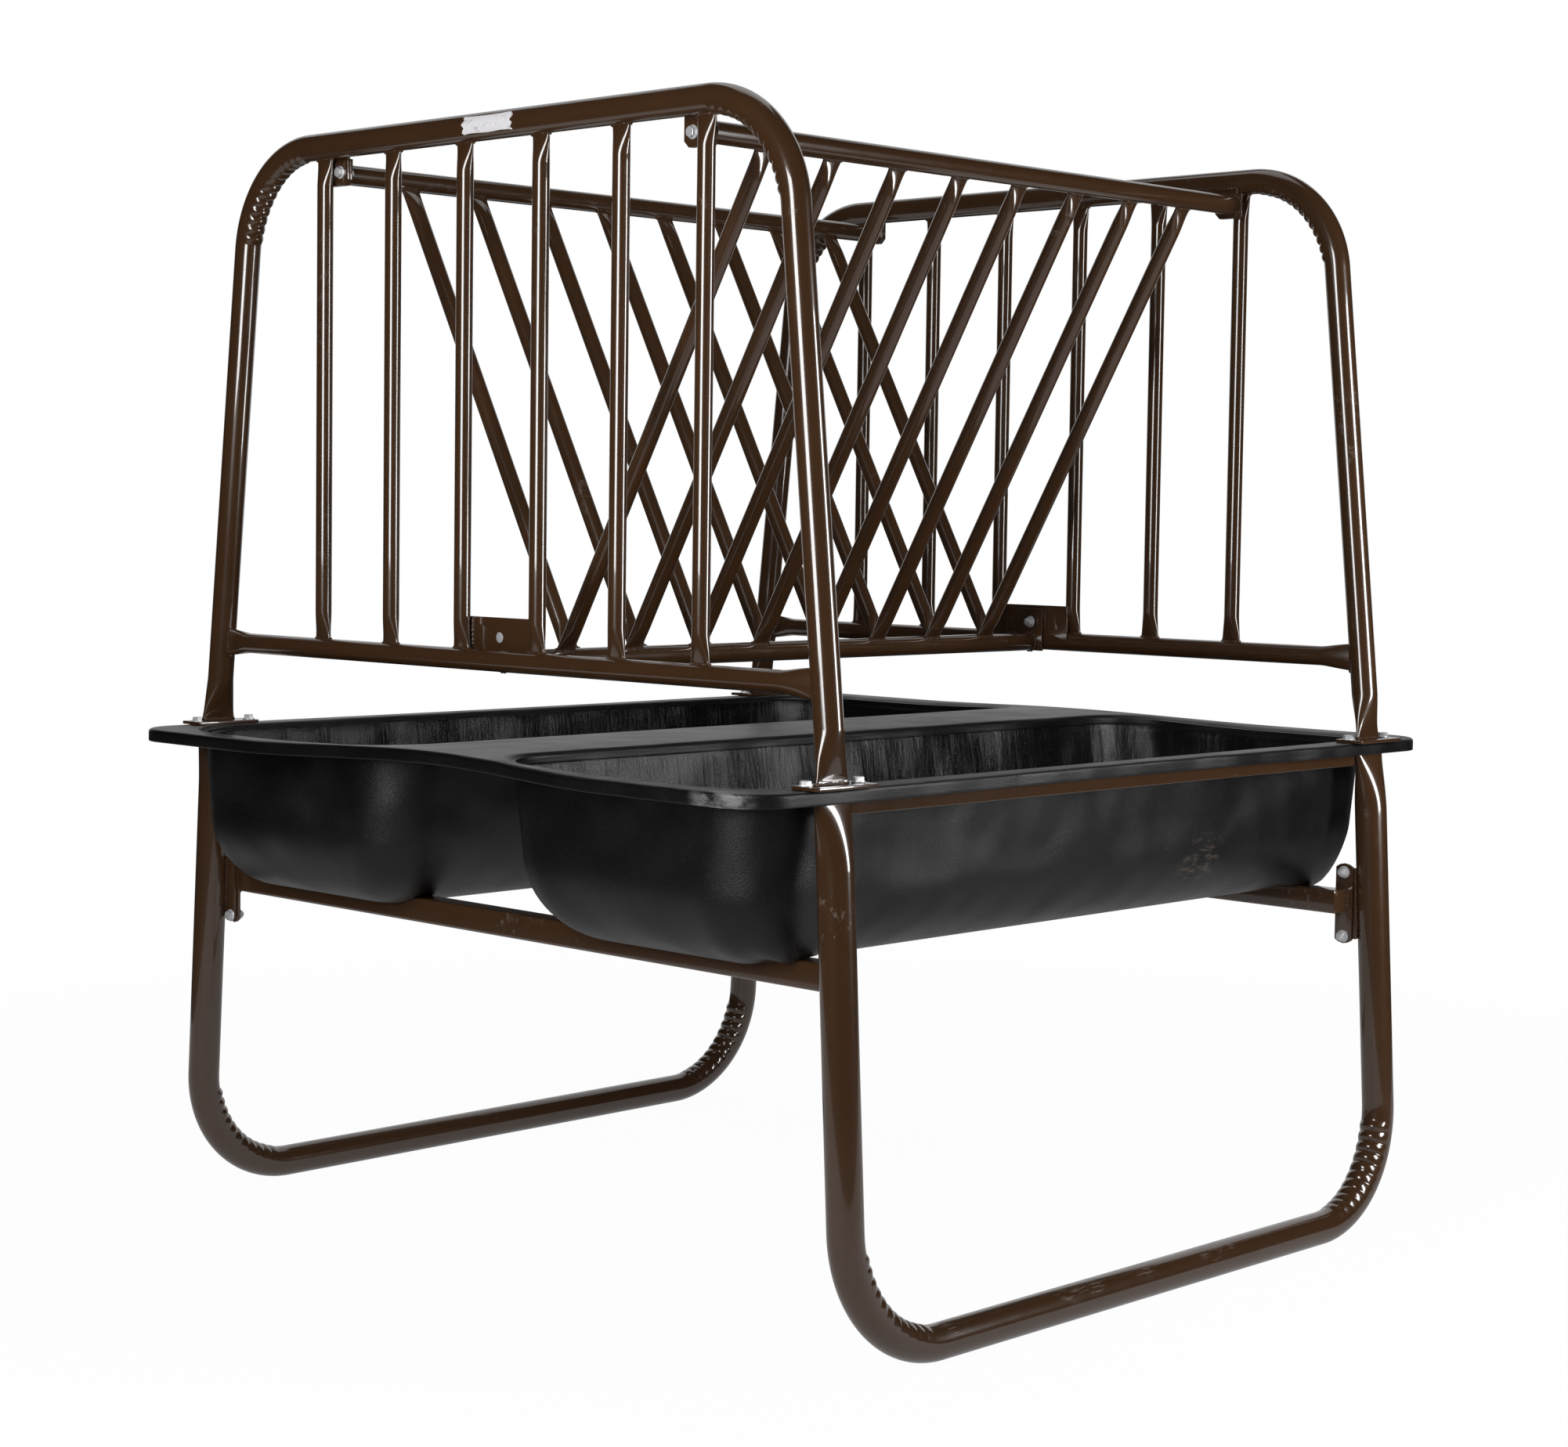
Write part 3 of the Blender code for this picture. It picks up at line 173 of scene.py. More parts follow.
# Under frame; a ridge over a member is its height and half-width
MEMBER_X = 0.592
MEMBER_TOP_Z = 0.548
MEMBER_SIZE = 0.0381
MEMBER_CORNER_R = 0.0045
MEMBER_CAP = 0.0012
MEMBER_CAP_SHARE = 0.93
MEMBER_HALF_LENGTH = 0.678
MEMBER_PLATE_X = 0.61045
MEMBER_PLATE_Z = (0.464, 0.583)
MEMBER_PLATE_OUTER = 0.687
MEMBER_PLATE_ARCH = 0.006
MEMBER_PLATE_CORNER_R = 0.0035
INNER_RIDGE = (0.5535, 0.0262)
OUTER_RIDGE = (0.5484, 0.0208)
RIDGE_SLOPE = 4
RIDGE_REACH = 0.03
RIDGE_ROUND = 0.0022
FOOT_PLATE_X = {"left": -0.630, "right": 0.639}
FOOT_PLATE_Y = 0.692
FOOT_PLATE_HALF = (0.0580, 0.0254)
FOOT_PLATE_LOW_Z = 0.7878
FOOT_PLATE_CORNER_R = 0.002
ANGLE_FACE_Y = 0.6905
ANGLE_TOP_Z = 0.7822
ANGLE_LEG = 0.03175
ANGLE_T = 0.0032
ANGLE_CORNER_R = 0.0012
ANGLE_END = 0.700
WEB_END = 0.643

# Sagging corners: how far, and place and half-width along and across
CORNER_SAG = (0.022, 0.64, 0.12, 0.640, 0.07)
MEMBER_SAG = (0.030, MEMBER_X, 0.10, 0.628, 0.06)
SAG_FROM_Z = 0.62
SAG_FULL_Z = 0.56

# Fasteners
SPOKES = 48
BOLT_R = 0.00475
HEX_FLATS = 0.0140
HEX_CHAMFER = 30
HEAD_HEIGHT = 0.0060
NUT_HEIGHT = 0.0078
TIP = 0.0040
THREAD_STEP = 0.0006
THREAD_DEPTH = 0.0006
WASHER_R = 0.0100
WASHER_T = 0.0014
DOME_R = 0.0115
DOME_HEIGHT = 0.0056
PLATES_GRIP = 0.0103
FOOT_BOLT_Y = 0.686
FOOT_BOLT_STEP = 0.0508
FOOT_BOLT_SEAT = 0.7928
FOOT_BOLT_GRIP = 0.0138
RACK_BOLT_X = 0.62285
RACK_BOLT_Y = {"front": -0.401, "back": 0.386}
CARRIAGE_BOLT_X = 0.6209
CARRIAGE_BOLT_PLACE = (-0.005, 0.9575)
MEMBER_BOLT_X = 0.62075
MEMBER_BOLTS = {"left": (0.676, 0.470, 0.575), "right": (0.671, 0.470, 0.575)}
ROUND = 40.0
CRISP = 28.0

# Weld beads: radius, and half the width and thickness of the pressed end inside them
BEAD_R = 0.0022
BAR_BEAD = (0.0175, 0.0034)
END_RAIL_BEAD = (0.0232, 0.0048)
FOOT_BEAD = (0.0310, 0.0030)
FOOT_BEAD_UP = 0.0012
BOTTOM_RAIL_BEAD_X = 0.6138

# Weld seams: radii, faces across X, and places along Y and up Z
SEAM_R = 0.0024
SIDE_SEAM_R = 0.0027
MEMBER_SEAM_R = 0.0026
MEMBER_END_SEAM_R = 0.0030
HANGER_FACES = (0.6176, 0.6232)
HANGER_SEAM_ABOVE = 0.0295
TAB_FACES = (0.6154, 0.6212)
TAB_SEAM_Z = (0.469, 0.581)
TAB_SEAM_MIDDLE_Z = 0.525
TAB_SEAM_HALF = 0.055
TAB_SEAM_IN = 0.0185
MEMBER_FACE = 0.6104
MEMBER_EDGE_IN = 0.0006
MEMBER_END_FACE = 0.6100
MEMBER_END_Z = (0.512, 0.547)
END_PLATE_FACE = 0.6246
END_PLATE_SIDE_Y = 0.0122
END_PLATE_SIDE_Z = (0.943, 0.986)
END_PLATE_FOOT_Y = 0.020
END_PLATE_FOOT_LENGTH = 0.022
END_PLATE_FOOT_Z = 0.9372

# Label on the near top rail
LABEL_Y = (-0.0574, 0.0500)
LABEL_TURN = (-33.0, 38.0)
LABEL_LIFT = 0.0006

# Worn spots, and one painted highlight on the trough's lip: centre and radius
COAT_SCUFFS = (
    ((-0.662, -0.719, 0.625), 0.045),
    ((-0.606, -0.018, 0.546), 0.050),
    ((0.586, -0.618, 0.547), 0.050),
    ((0.640, 0.020, 0.930), 0.060),
)
RAIL_SCUFFS = (
    ((-0.440, -0.745, 0.060), 0.034),
    ((-0.190, -0.745, 0.062), 0.040),
    ((-0.140, -0.745, 0.062), 0.040),
    ((-0.020, -0.745, 0.060), 0.036),
    ((0.145, -0.745, 0.060), 0.040),
    ((0.185, -0.745, 0.060), 0.034),
)
TROUGH_SCUFFS = (((0.262, -0.660, 0.610), 0.070),)
# Painted highlight: a pale patch on the near corner of the lip that stands in for the reflection of the left
# strip light
LIP_PAINTED_HIGHLIGHT = (((-0.800, -0.640, 0.780), 0.060),)

# Studio: camera as solved from the photograph, in pixels and degrees, and the flats
PHOTO_SIZE = (2002, 1848)
PHOTO_CENTRE = (971.42, 873.03)
PHOTO_FOCAL = 3709.9
SENSOR = 36.0
CAMERA_PLACE = (-3.41335, -3.28342, 1.15797)
CAMERA_TURN = (44.4586, 3.5154, 0.7770)
FLOOR_HALF = 40.0
FLOOR_FADE = (1.4, 4.0)
FLATS_R = 12.0
FLATS_MIDDLE = 44.46
BACKDROP_TOP = 50
FLOOR_GAP = 0.002


def linked(name, data):
    """A new object of that data in the scene."""
    piece = bpy.data.objects.new(name, data)
    bpy.context.scene.collection.objects.link(piece)
    return piece


class Skin:
    """Gathers grids of points and makes one mesh of them."""

    def __init__(self):
        self.points, self.corners, self.sizes, self.count = [], [], [], 0

    def add(self, points):
        """Keep points and return the number of the first one."""
        start = self.count
        self.points.append(np.asarray(points, float).reshape(-1, 3))
        self.count += len(self.points[-1])
        return start

    def grid(self, points, ring=True, loop=False):
        """Four-sided faces between neighbouring points; ring closes the columns and loop the rows."""
        rows, columns = points.shape[:2]
        index = np.arange(rows * columns).reshape(rows, columns) + self.add(points)
        if ring:
            index = np.concatenate((index, index[:, :1]), axis=1)
        if loop:
            index = np.concatenate((index, index[:1]), axis=0)
        quads = np.stack((index[:-1, :-1], index[:-1, 1:], index[1:, 1:], index[1:, :-1]), axis=-1)
        self.corners.append(quads.ravel())
        self.sizes.append(np.full(quads.size // 4, 4))
        return index

    def solid(self, points):
        """A closed body: columns run round it, and triangles to each end's middle close it."""
        index = self.grid(points)
        for row, end in ((index[0], points[0]), (index[-1], points[-1])):
            middle = np.full(len(row) - 1, self.add(end.mean(axis=0)))
            self.corners.append(np.stack((row[1:], row[:-1], middle), axis=-1).ravel())
            self.sizes.append(np.full(len(middle), 3))

    def make(self, name, finish, *nodes, sharp=ROUND, merge=1e-6):
        """Make the piece: join what coincides, face outwards, smooth below the sharp angle, ride."""
        corners, sizes = np.concatenate(self.corners), np.concatenate(self.sizes)
        mesh = bpy.data.meshes.new(name)
        mesh.vertices.add(self.count)
        mesh.vertices.foreach_set("co", np.concatenate(self.points).astype(np.float32).ravel())
        mesh.loops.add(len(corners))
        mesh.loops.foreach_set("vertex_index", corners.astype(np.int32))
        mesh.polygons.add(len(sizes))
        mesh.polygons.foreach_set("loop_start", (np.cumsum(sizes) - sizes).astype(np.int32))
        mesh.update(calc_edges=True)
        bm = bmesh.new()
        bm.from_mesh(mesh)
        bmesh.ops.remove_doubles(bm, verts=bm.verts, dist=merge)
        bmesh.ops.dissolve_degenerate(bm, edges=bm.edges, dist=merge)
        bmesh.ops.recalc_face_normals(bm, faces=bm.faces)
        bm.to_mesh(mesh)
        bm.free()
        mesh.shade_smooth()
        mesh.set_sharp_from_angle(angle=math.radians(sharp))
        mesh.materials.append(material(finish))
        piece = linked(name, mesh)
        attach(piece, BODY)
        if nodes:
            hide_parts(*nodes)
        return piece


class Wire:
    """An output socket: Python's operators on it add Math nodes to its graph."""

    def __init__(self, graph, socket):
        self.graph, self.socket = graph, socket

    def __add__(self, other):
        return self.graph.math("ADD", self, other)

    def __sub__(self, other):
        return self.graph.math("SUBTRACT", self, other)

    def __rsub__(self, other):
        return self.graph.math("SUBTRACT", other, self)

    def __mul__(self, other):
        return self.graph.math("MULTIPLY", self, other)

    __radd__, __rmul__ = __add__, __mul__

    def step(self, low, high):
        """Smooth step from 0 at low to 1 at high."""
        values = {"Value": self, "From Min": low, "From Max": high}
        return self.graph.node("ShaderNodeMapRange", {"interpolation_type": "SMOOTHSTEP"}, values)


class Graph:
    """A node tree, emptied and filled anew."""

    def __init__(self, owner):
        owner.use_nodes = True
        self.owner, self.tree = owner, owner.node_tree
        self.tree.nodes.clear()

    def node(self, kind, settings=None, values=None, out=0):
        """Add a node: first its settings, then the numbers or wires of its sockets. Returns one output."""
        made = self.tree.nodes.new(kind)
        for key, value in (settings or {}).items():
            setattr(made, key, value)
        for key, value in (values or {}).items():
            if isinstance(value, Wire):
                self.tree.links.new(value.socket, made.inputs[key])
            else:
                made.inputs[key].default_value = value
        return Wire(self, made.outputs[out]) if made.outputs else None

    def math(self, operation, first, second):
        return self.node("ShaderNodeMath", {"operation": operation}, {0: first, 1: second})

    def place(self, scale=(1.0, 1.0, 1.0)):
        """The object's own coordinates, in metres, scaled."""
        own = self.node("ShaderNodeTexCoord", out="Object")
        return self.node("ShaderNodeMapping", None, {"Vector": own, "Scale": scale})

    def noise(self, scale, detail=2.0, rough=0.5, stretch=(1.0, 1.0, 1.0)):
        """Noise from 0 to 1, with its scale in cells per metre."""
        values = {"Vector": self.place(stretch), "Scale": scale, "Detail": detail, "Roughness": rough}
        return self.node("ShaderNodeTexNoise", None, values, "Fac")

    def blend(self, factor, first, second):
        """A colour between two, each a wire or three numbers."""
        ends = [c if isinstance(c, Wire) else (*c, 1.0) for c in (first, second)]
        values = {"Factor": factor, 6: ends[0], 7: ends[1]}
        return self.node("ShaderNodeMix", {"data_type": "RGBA"}, values, 2)

    def looked_at(self):
        """1 where the camera, a reflection or a clear piece looks, and 0 for light on its way."""
        rays = "Camera", "Glossy", "Transmission"
        camera, glossy, clear = (self.node("ShaderNodeLightPath", out=f"Is {ray} Ray") for ray in rays)
        settings = {"operation": "ADD", "use_clamp": True}
        return self.node("ShaderNodeMath", settings, {0: camera + glossy, 1: clear})

    def spots(self, spots, scale, low, high, stretch):
        """Worn spots or patches of painted highlight: 1 - smooth step of the distance from each centre, times
        a streaky noise.
        """
        own = self.place()
        streak = self.noise(scale, 3.0, 0.65, stretch).step(low, high)
        total = 0.0
        for centre, radius in spots:
            away = self.node("ShaderNodeVectorMath", {"operation": "DISTANCE"}, {0: own, 1: centre}, "Value")
            total = total + (1.0 - away.step(0.45 * radius, radius))
        return total * streak

    def bump(self, height, distance, strength, **before):
        """A normal from a height; Normal=wire stacks it on an earlier one."""
        values = {"Height": height, "Distance": distance, "Strength": strength, **before}
        return self.node("ShaderNodeBump", None, values)

    def emit(self, kind, strength):
        """Plain white light of that strength."""
        return self.node(kind, None, {"Color": (1, 1, 1, 1), "Strength": strength})

    def output(self, kind, shader):
        self.node(kind, None, {"Surface": shader})

    def finish(self, **values):
        """Add the shader, with _ for the spaces in its sockets' names, and return the material."""
        values = {key.replace("_", " "): value for key, value in values.items()}
        self.output("ShaderNodeOutputMaterial", self.node("ShaderNodeBsdfPrincipled", None, values))
        return self.owner


def linear(colour):
    """Screen values from 0 to 255 as the linear colour that renders so."""
    return tuple(((v / 255 + 0.055) / 1.055) ** 2.4 if v > 10 else v / 255 / 12.92 for v in colour)


def shades(colour, dark, light):
    """A colour darkened and lightened."""
    return tuple(Vector(colour) * dark), tuple(Vector(colour) * light)


def coat_finish(g, look):
    """Glossy dark brown powder coat: fine grain, slow changes of tone, orange peel and rubbed spots."""
    grain = g.noise(1500.0, 1.0) * 0.5 + g.noise(520.0, 2.0, 0.6) * 0.5
    tone = (grain - 0.5) * 1.6 + (g.noise(9.0) - 0.5) * 0.5 + 0.5
    rub_place = g.noise(7.0, 3.0, 0.6).step(0.60, 0.70)
    rub_streak = g.noise(60.0, 3.0, 0.7, (0.35, 1.0, 1.0)).step(0.52, 0.66)
    scuff = g.spots(COAT_SCUFFS, 210.0, 0.58, 0.66, (1.0, 0.55, 0.30))
    scuff = scuff + g.spots(RAIL_SCUFFS, 260.0, 0.50, 0.60, (0.12, 1.0, 1.0))
    rub = rub_place * rub_streak * 0.5 + scuff
    coat = g.blend(tone, *shades(look.coat_colour, 0.74, 1.3))
    return g.finish(
        Base_Color=g.blend(rub * 0.45, coat, linear((112, 100, 90))),
        Roughness=look.coat_roughness + (g.noise(30.0) - 0.5) * 0.10 + rub * 0.35,
        Specular_IOR_Level=0.5, Coat_Weight=1.0, Coat_Roughness=0.05, Coat_IOR=1.6,
        Normal=g.bump(g.noise(420.0), 0.00003, 0.5),
    )


def poly_finish(g, look):
    """Satin black polyethylene: pebbled skin, dusty spots, a scuff, a painted highlight on the lip's corner,
    and inside the basins gloss and drawing marks.
    """
    speck = g.noise(1100.0, 2.0, 0.6) * 0.5 + g.noise(380.0, 2.0, 0.6) * 0.5
    cloud = g.noise(5.0, 3.0, 0.6)
    drawn = g.noise(60.0, 3.0, 0.6, (1.0, 1.0, 0.12))
    inside = g.node("ShaderNodeAttribute", {"attribute_name": "inside"}, out="Fac")
    dust = g.noise(160.0).step(0.70, 0.80)
    scuff = g.spots(TROUGH_SCUFFS, 110.0, 0.50, 0.62, (0.4, 1.0, 1.0))
    # Painted highlight: a pale grey patch on the lip's corner, standing in for a reflection of the left strip
    # light
    painted_highlight = g.spots(LIP_PAINTED_HIGHLIGHT, 60.0, 0.35, 0.60, (1.0, 0.3, 1.0))
    tone = (speck - 0.5) * 2.6 + (cloud - 0.5) * 0.7 + 0.5
    colour = g.blend(tone, *shades(look.poly_colour, 0.4, 1.9))
    # The dust and the scuff are real marks; the last, pale grey one is the painted highlight
    marks = (dust * 0.10, (120, 120, 120)), (scuff * 0.45, (92, 78, 66)), (painted_highlight * 0.6, (150, 148, 150))
    for share, mark in marks:
        colour = g.blend(share, colour, linear(mark))
    swell = g.bump(g.noise(7.0, 1.0), 0.030, 0.6)
    lines = g.bump(drawn * (inside * 0.9 + 0.1), 0.0030, 0.6, Normal=swell)
    return g.finish(
        Base_Color=colour,
        Roughness=look.poly_roughness + (cloud - 0.5) * 0.16 - inside * 0.13,
        Specular_IOR_Level=0.5,
        Normal=g.bump(speck, 0.0012, 0.6, Normal=lines),
    )


def zinc_finish(g, look):
    """Bright zinc plating with fine crystal mottling."""
    mottle = g.noise(900.0, 3.0, 0.7)
    colour = g.blend(mottle, linear((205, 207, 210)), linear((242, 242, 244)))
    rough = 0.20 + mottle * 0.24
    return g.finish(Base_Color=colour, Metallic=0.6, Roughness=rough, Normal=g.bump(mottle, 0.0001, 0.5))


def weld_finish(g, look):
    """Weld metal under the same brown coat, thinner and shinier."""
    ripple = g.noise(700.0, 3.0, 0.6)
    colour = g.blend(ripple, *shades(look.coat_colour, 0.75, 1.35))
    return g.finish(Base_Color=colour, Roughness=0.24 + ripple * 0.2, Normal=g.bump(ripple, 0.0006, 0.8))


def label_finish(g, look):
    """Silvery white film, creased and a little worn, with nothing printed on it."""
    crease = g.noise(120.0, 4.0, 0.6, (1.0, 0.45, 1.0))
    dull = g.noise(300.0, 3.0, 0.6).step(0.60, 0.72) * 0.4 + crease.step(0.55, 0.70) * 0.5
    colour = g.blend(dull, linear((222, 220, 222)), linear((128, 126, 130)))
    return g.finish(Base_Color=colour, Roughness=0.30 + crease * 0.2, Normal=g.bump(crease, 0.0012, 0.7))


FINISHES = {COAT: coat_finish, POLY: poly_finish, ZINC: zinc_finish, WELD: weld_finish, LABEL: label_finish}


def material(name):
    """The material of that name, made the first time it is asked for."""
    key = f"{name}_finish"
    ready = bpy.data.materials.get(key)
    return ready or FINISHES[name](Graph(bpy.data.materials.new(key)), bpy.context.scene.feeder_finish)


def pressed_section(radius, press, thickness, count):
    """Outlines of a tube pressed between two flats, one row per station.

    With b half the height, a tube half pressed is an ellipse with a = sqrt(2 r^2 - b^2). Fully pressed it
    is a flat with round edges and a = b + pi (r - b) / 2, which keeps the tube's girth: each angle round
    it is turned into a distance along a quarter of it, round first and then flat. The share of the flat
    one is the press to the fourth power.
    """
    theta = 2 * np.pi * (np.arange(count) + 0.5) / count
    press = press[:, None]
    b = radius + (thickness / 2 - radius) * press
    a = b + np.pi * (radius - b) / 2
    bow = np.pi * b / 2
    fold = np.abs((theta + np.pi / 2) % np.pi - np.pi / 2)
    along = (bow + a - b) * fold / (np.pi / 2)
    phi = np.minimum(along / b, np.pi / 2)
    wide = np.where(along < bow, a - b + b * np.cos(phi), a - along + bow - b) * np.sign(np.cos(theta))
    thin = b * np.sin(phi) * np.sign(np.sin(theta))
    oval = np.sqrt(2 * radius ** 2 - b ** 2) * np.cos(theta), b * np.sin(theta)
    return oval[0] + (wide - oval[0]) * press ** 4, oval[1] + (thin - oval[1]) * press ** 4


def hoop(corner, spread, leg_end, bend_r, ripples, pinch):
    """Stations of a hoop in its own plane, from one leg's end to the other's.

    One half starts in the middle of the rail: the rail is (s, 0); the bend is (c + R sin t, R - R cos t)
    up to the leg's turn; the leg is (corner + spread b, b). The other half is its mirror image. Each
    station has its point, the normal away from the bend's centre, the height of the crush ripple there,
    which is the sine of its phase to the power 0.75, and how far the tube is pressed flat.
    """
    number, first, last = ripples[0], math.radians(ripples[1]), math.radians(ripples[2])
    length, level, ease = pinch
    turn = math.atan2(1, spread)
    centre = corner - bend_r * math.tan(turn / 2)
    rail = np.linspace(0, centre, 14)[:-1]
    angle = np.linspace(0, turn, 181)
    share = np.linspace(0, 1, 37)
    leg = np.linspace(bend_r * (1 - math.cos(turn)), leg_end - length, 10)[1:-1]
    b = np.concatenate((leg, leg_end - length * (1 - share)))
    phase = (angle - first) / (last - first) * number
    uneven = 0.85 + 0.3 * np.sin(12.9898 * np.floor(phase) + 4.1)
    fade = np.clip(np.minimum(phase / 1.5, (number - phase) / 0.6), 0, 1) ** 0.5
    ripple = np.abs(np.sin(np.pi * phase)) ** 0.75 * uneven * fade
    points = np.concatenate((
        np.stack((rail, rail * 0), axis=1),
        np.stack((centre + bend_r * np.sin(angle), bend_r * (1 - np.cos(angle))), axis=1),
        np.stack((corner + spread * b, b), axis=1),
    ))
    normals = np.concatenate((
        np.tile((0.0, -1.0), (len(rail), 1)),
        np.stack((np.sin(angle), -np.cos(angle)), axis=1),
        np.tile((math.sin(turn), -math.cos(turn)), (len(b), 1)),
    ))
    ripple = np.concatenate((rail * 0, ripple, b * 0))
    press = np.clip(share / (1 - level / length), 0, 1) ** ease
    press = np.concatenate((rail * 0, angle * 0, leg * 0, press))
    mirror = np.array((-1.0, 1.0))
    halves = (points, mirror), (normals, mirror), (ripple, 1), (press, 1)
    return [np.concatenate((half[:0:-1] * sign, half)) for half, sign in halves]


def hoop_surface(stations, base, first, second, third, radius, wide_in_plane, count=72):
    """The hoop's skin: base + first a + second b, swept by its pressed section.

    first and second span the hoop's plane and third crosses it. Crush ripples stand out towards the
    bend's centre and die out a quarter of the way round.
    """
    points, normals, ripple, press = stations
    outward, sideways = pressed_section(radius, press, PINCH_T, count)
    if not wide_in_plane:
        outward, sideways = sideways[:, ::-1], outward[:, ::-1]
    inward = np.clip((-outward / np.hypot(outward, sideways) - 0.10) / 0.90, 0, 1)
    height = bpy.context.scene.feeder_sizes.ripple_height
    grow = 1 + ripple[:, None] * height * inward ** 1.4 / radius
    centre = base + points[:, :1] * first + points[:, 1:] * second
    away = normals[:, :1] * first + normals[:, 1:] * second
    skin = centre[:, None] + away[:, None] * (outward * grow)[..., None]
    return skin + third * (sideways * grow)[..., None]


def straight_surface(start, end, wide_axis, thin_axis, radius, pinch, thickness, slant=0.0, count=48):
    """A straight tube, pressed flat at both ends over the pinch length; slant leans its two end cuts.

    A point is start + t along + wide W + thin T; near the first end t grows by slant W, near the last
    it shrinks by as much.
    """
    start, end = np.array(start, float), np.array(end, float)
    length = np.linalg.norm(end - start)
    along = (end - start) / length
    share = np.linspace(0, 1, 25)
    near = pinch * share
    t = np.concatenate((near, np.linspace(pinch, length - pinch, 8)[1:-1], length - near[::-1]))
    press = np.concatenate(((1 - share) ** 1.5, np.zeros(6), (1 - share[::-1]) ** 1.5))
    wide, thin = pressed_section(radius, press, thickness, count)
    fade = np.clip(1 - t / (2 * pinch), 0, 1) - np.clip(1 - (length - t) / (2 * pinch), 0, 1)
    place = t[:, None] + wide * slant * fade[:, None]
    return start + place[..., None] * along + wide[..., None] * wide_axis + thin[..., None] * thin_axis


def frame_leg_y(z):
    """Distance of an end hoop's leg from the middle of the feeder."""
    return FRAME_CORNER_Y + FRAME_SPREAD * (FRAME_TOP_Z - z)


def leg_y(z):
    """Distance of a lower hoop's leg from the middle of the feeder."""
    return GROUND_RAIL_Y - LEG_LEAN * (z - LEG_D / 2)


def end_bar_y(end, index):
    return ((END_BARS - 1) / 2 - index) * END_BAR_PITCH + END_BAR_SHIFT[end]


def rounded_outline(corners, radius, steps=5):
    """A polygon's outline with each corner replaced by an arc of a circle.

    The arc's centre lies on the corner's bisector, and its points are the centre plus the radius
    times a direction that turns from one side's normal to the next one's.
    """
    corners = np.array(corners, float)
    before, after = np.roll(corners, 1, axis=0) - corners, np.roll(corners, -1, axis=0) - corners
    before /= np.linalg.norm(before, axis=1)[:, None]
    after /= np.linalg.norm(after, axis=1)[:, None]
    middle = before + after
    middle /= np.linalg.norm(middle, axis=1)[:, None]
    half = np.arccos(np.clip((before * after).sum(axis=1), -1, 1)) / 2
    centre = corners + middle * (radius / np.sin(half))[:, None]
    first, last = (corners + side * (radius / np.tan(half))[:, None] - centre for side in (before, after))
    share = np.linspace(0, 1, steps)[:, None, None]
    turned = first * (1 - share) + last * share
    turned *= radius / np.linalg.norm(turned, axis=2)[..., None]
    return (centre + turned).transpose(1, 0, 2).reshape(-1, 2)


def plate_points(outline, origin, first, second, third):
    """A flat plate with softened edges: its outline shrinks by the edge radius at both faces.

    Rows run through the thickness; each is origin + first u + second v + third w.
    """
    step = np.roll(outline, -1, axis=0) - np.roll(outline, 1, axis=0)
    normal = np.stack((step[:, 1], -step[:, 0]), axis=1)
    normal /= np.linalg.norm(normal, axis=1)[:, None]
    normal *= np.sign(((outline - outline.mean(axis=0)) * normal).sum())
    turn = np.linspace(0, np.pi / 2, 4)
    rise, fall = PLATE_EDGE * (1 - np.sin(turn)), PLATE_EDGE * (1 - np.cos(turn))
    flat = outline - normal * np.concatenate((rise, fall))[:, None, None]
    depth = np.concatenate((fall, PLATE_T - rise))
    points = np.array(origin, float) + flat[..., :1] * first + flat[..., 1:] * second
    return points + depth[:, None, None] * third


def crossing_plate(skin, corners, x, end, radius=PLATE_CORNER_R):
    """A plate across X: corners in y and z, its inner face at x, its thickness away from the middle."""
    skin.solid(plate_points(rounded_outline(corners, radius), (end * x, 0, 0), ACROSS, UP, end * ALONG))


def rectangle(u, v):
    """Corners of a rectangle between two places each way."""
    return [(u[0], v[0]), (u[1], v[0]), (u[1], v[1]), (u[0], v[1])]


def cut_corners(inner, outer, low, high, cut):
    """Corners of a rack plate whose lower inner corner is cut off."""
    return [(inner + cut, low), (outer, low), (outer, high), (inner, high), (inner, low + abs(cut))]


def bead_swell(radius, s, quick, slow):
    """A bead's radius along its length s: two sine waves of unlike pitch on a mean."""
    return radius * (1 + quick * np.sin(s / 0.0011) + slow * np.sin(s / 0.0037 + 1.3))


def bead(skin, path, radius=BEAD_R):
    """A lumpy bead along a closed path: a circle carried along it that swells and shrinks."""
    path = np.asarray(path, float)
    after = np.roll(path, -1, axis=0)
    tangent = after - np.roll(path, 1, axis=0)
    tangent /= np.linalg.norm(tangent, axis=1)[:, None]
    side = np.cross(tangent, path - path.mean(axis=0))
    side /= np.linalg.norm(side, axis=1)[:, None]
    swell = bead_swell(radius, np.cumsum(np.linalg.norm(after - path, axis=1)), 0.30, 0.24)
    turn = 2 * np.pi * np.arange(8)[:, None] / 8
    ring = side[:, None] * np.cos(turn) + np.cross(side, tangent)[:, None] * np.sin(turn)
    skin.grid(path[:, None] + ring * swell[:, None, None], loop=True)


def seam(skin, x, start, end, radius=SEAM_R):
    """A lumpy bead along a line across X: circles that swell, shrink and die out at both ends."""
    start, end = np.array((x, *start), float), np.array((x, *end), float)
    length = np.linalg.norm(end - start)
    along = (end - start) / length
    share = np.linspace(0, 1, max(9, int(length / 0.0012)))
    swell = bead_swell(radius, share * length, 0.2, 0.15)
    swell *= np.clip(1 - np.abs(2 * share - 1) ** 6, 0.02, 1) ** 0.5
    first = np.cross(along, (0.31, 0.52, 0.79))
    first /= np.linalg.norm(first)
    turn = 2 * np.pi * np.arange(8)[:, None] / 8
    ring = np.cos(turn) * first + np.sin(turn) * np.cross(along, first)
    skin.solid(start + (share * length)[:, None, None] * along + ring * swell[:, None, None])


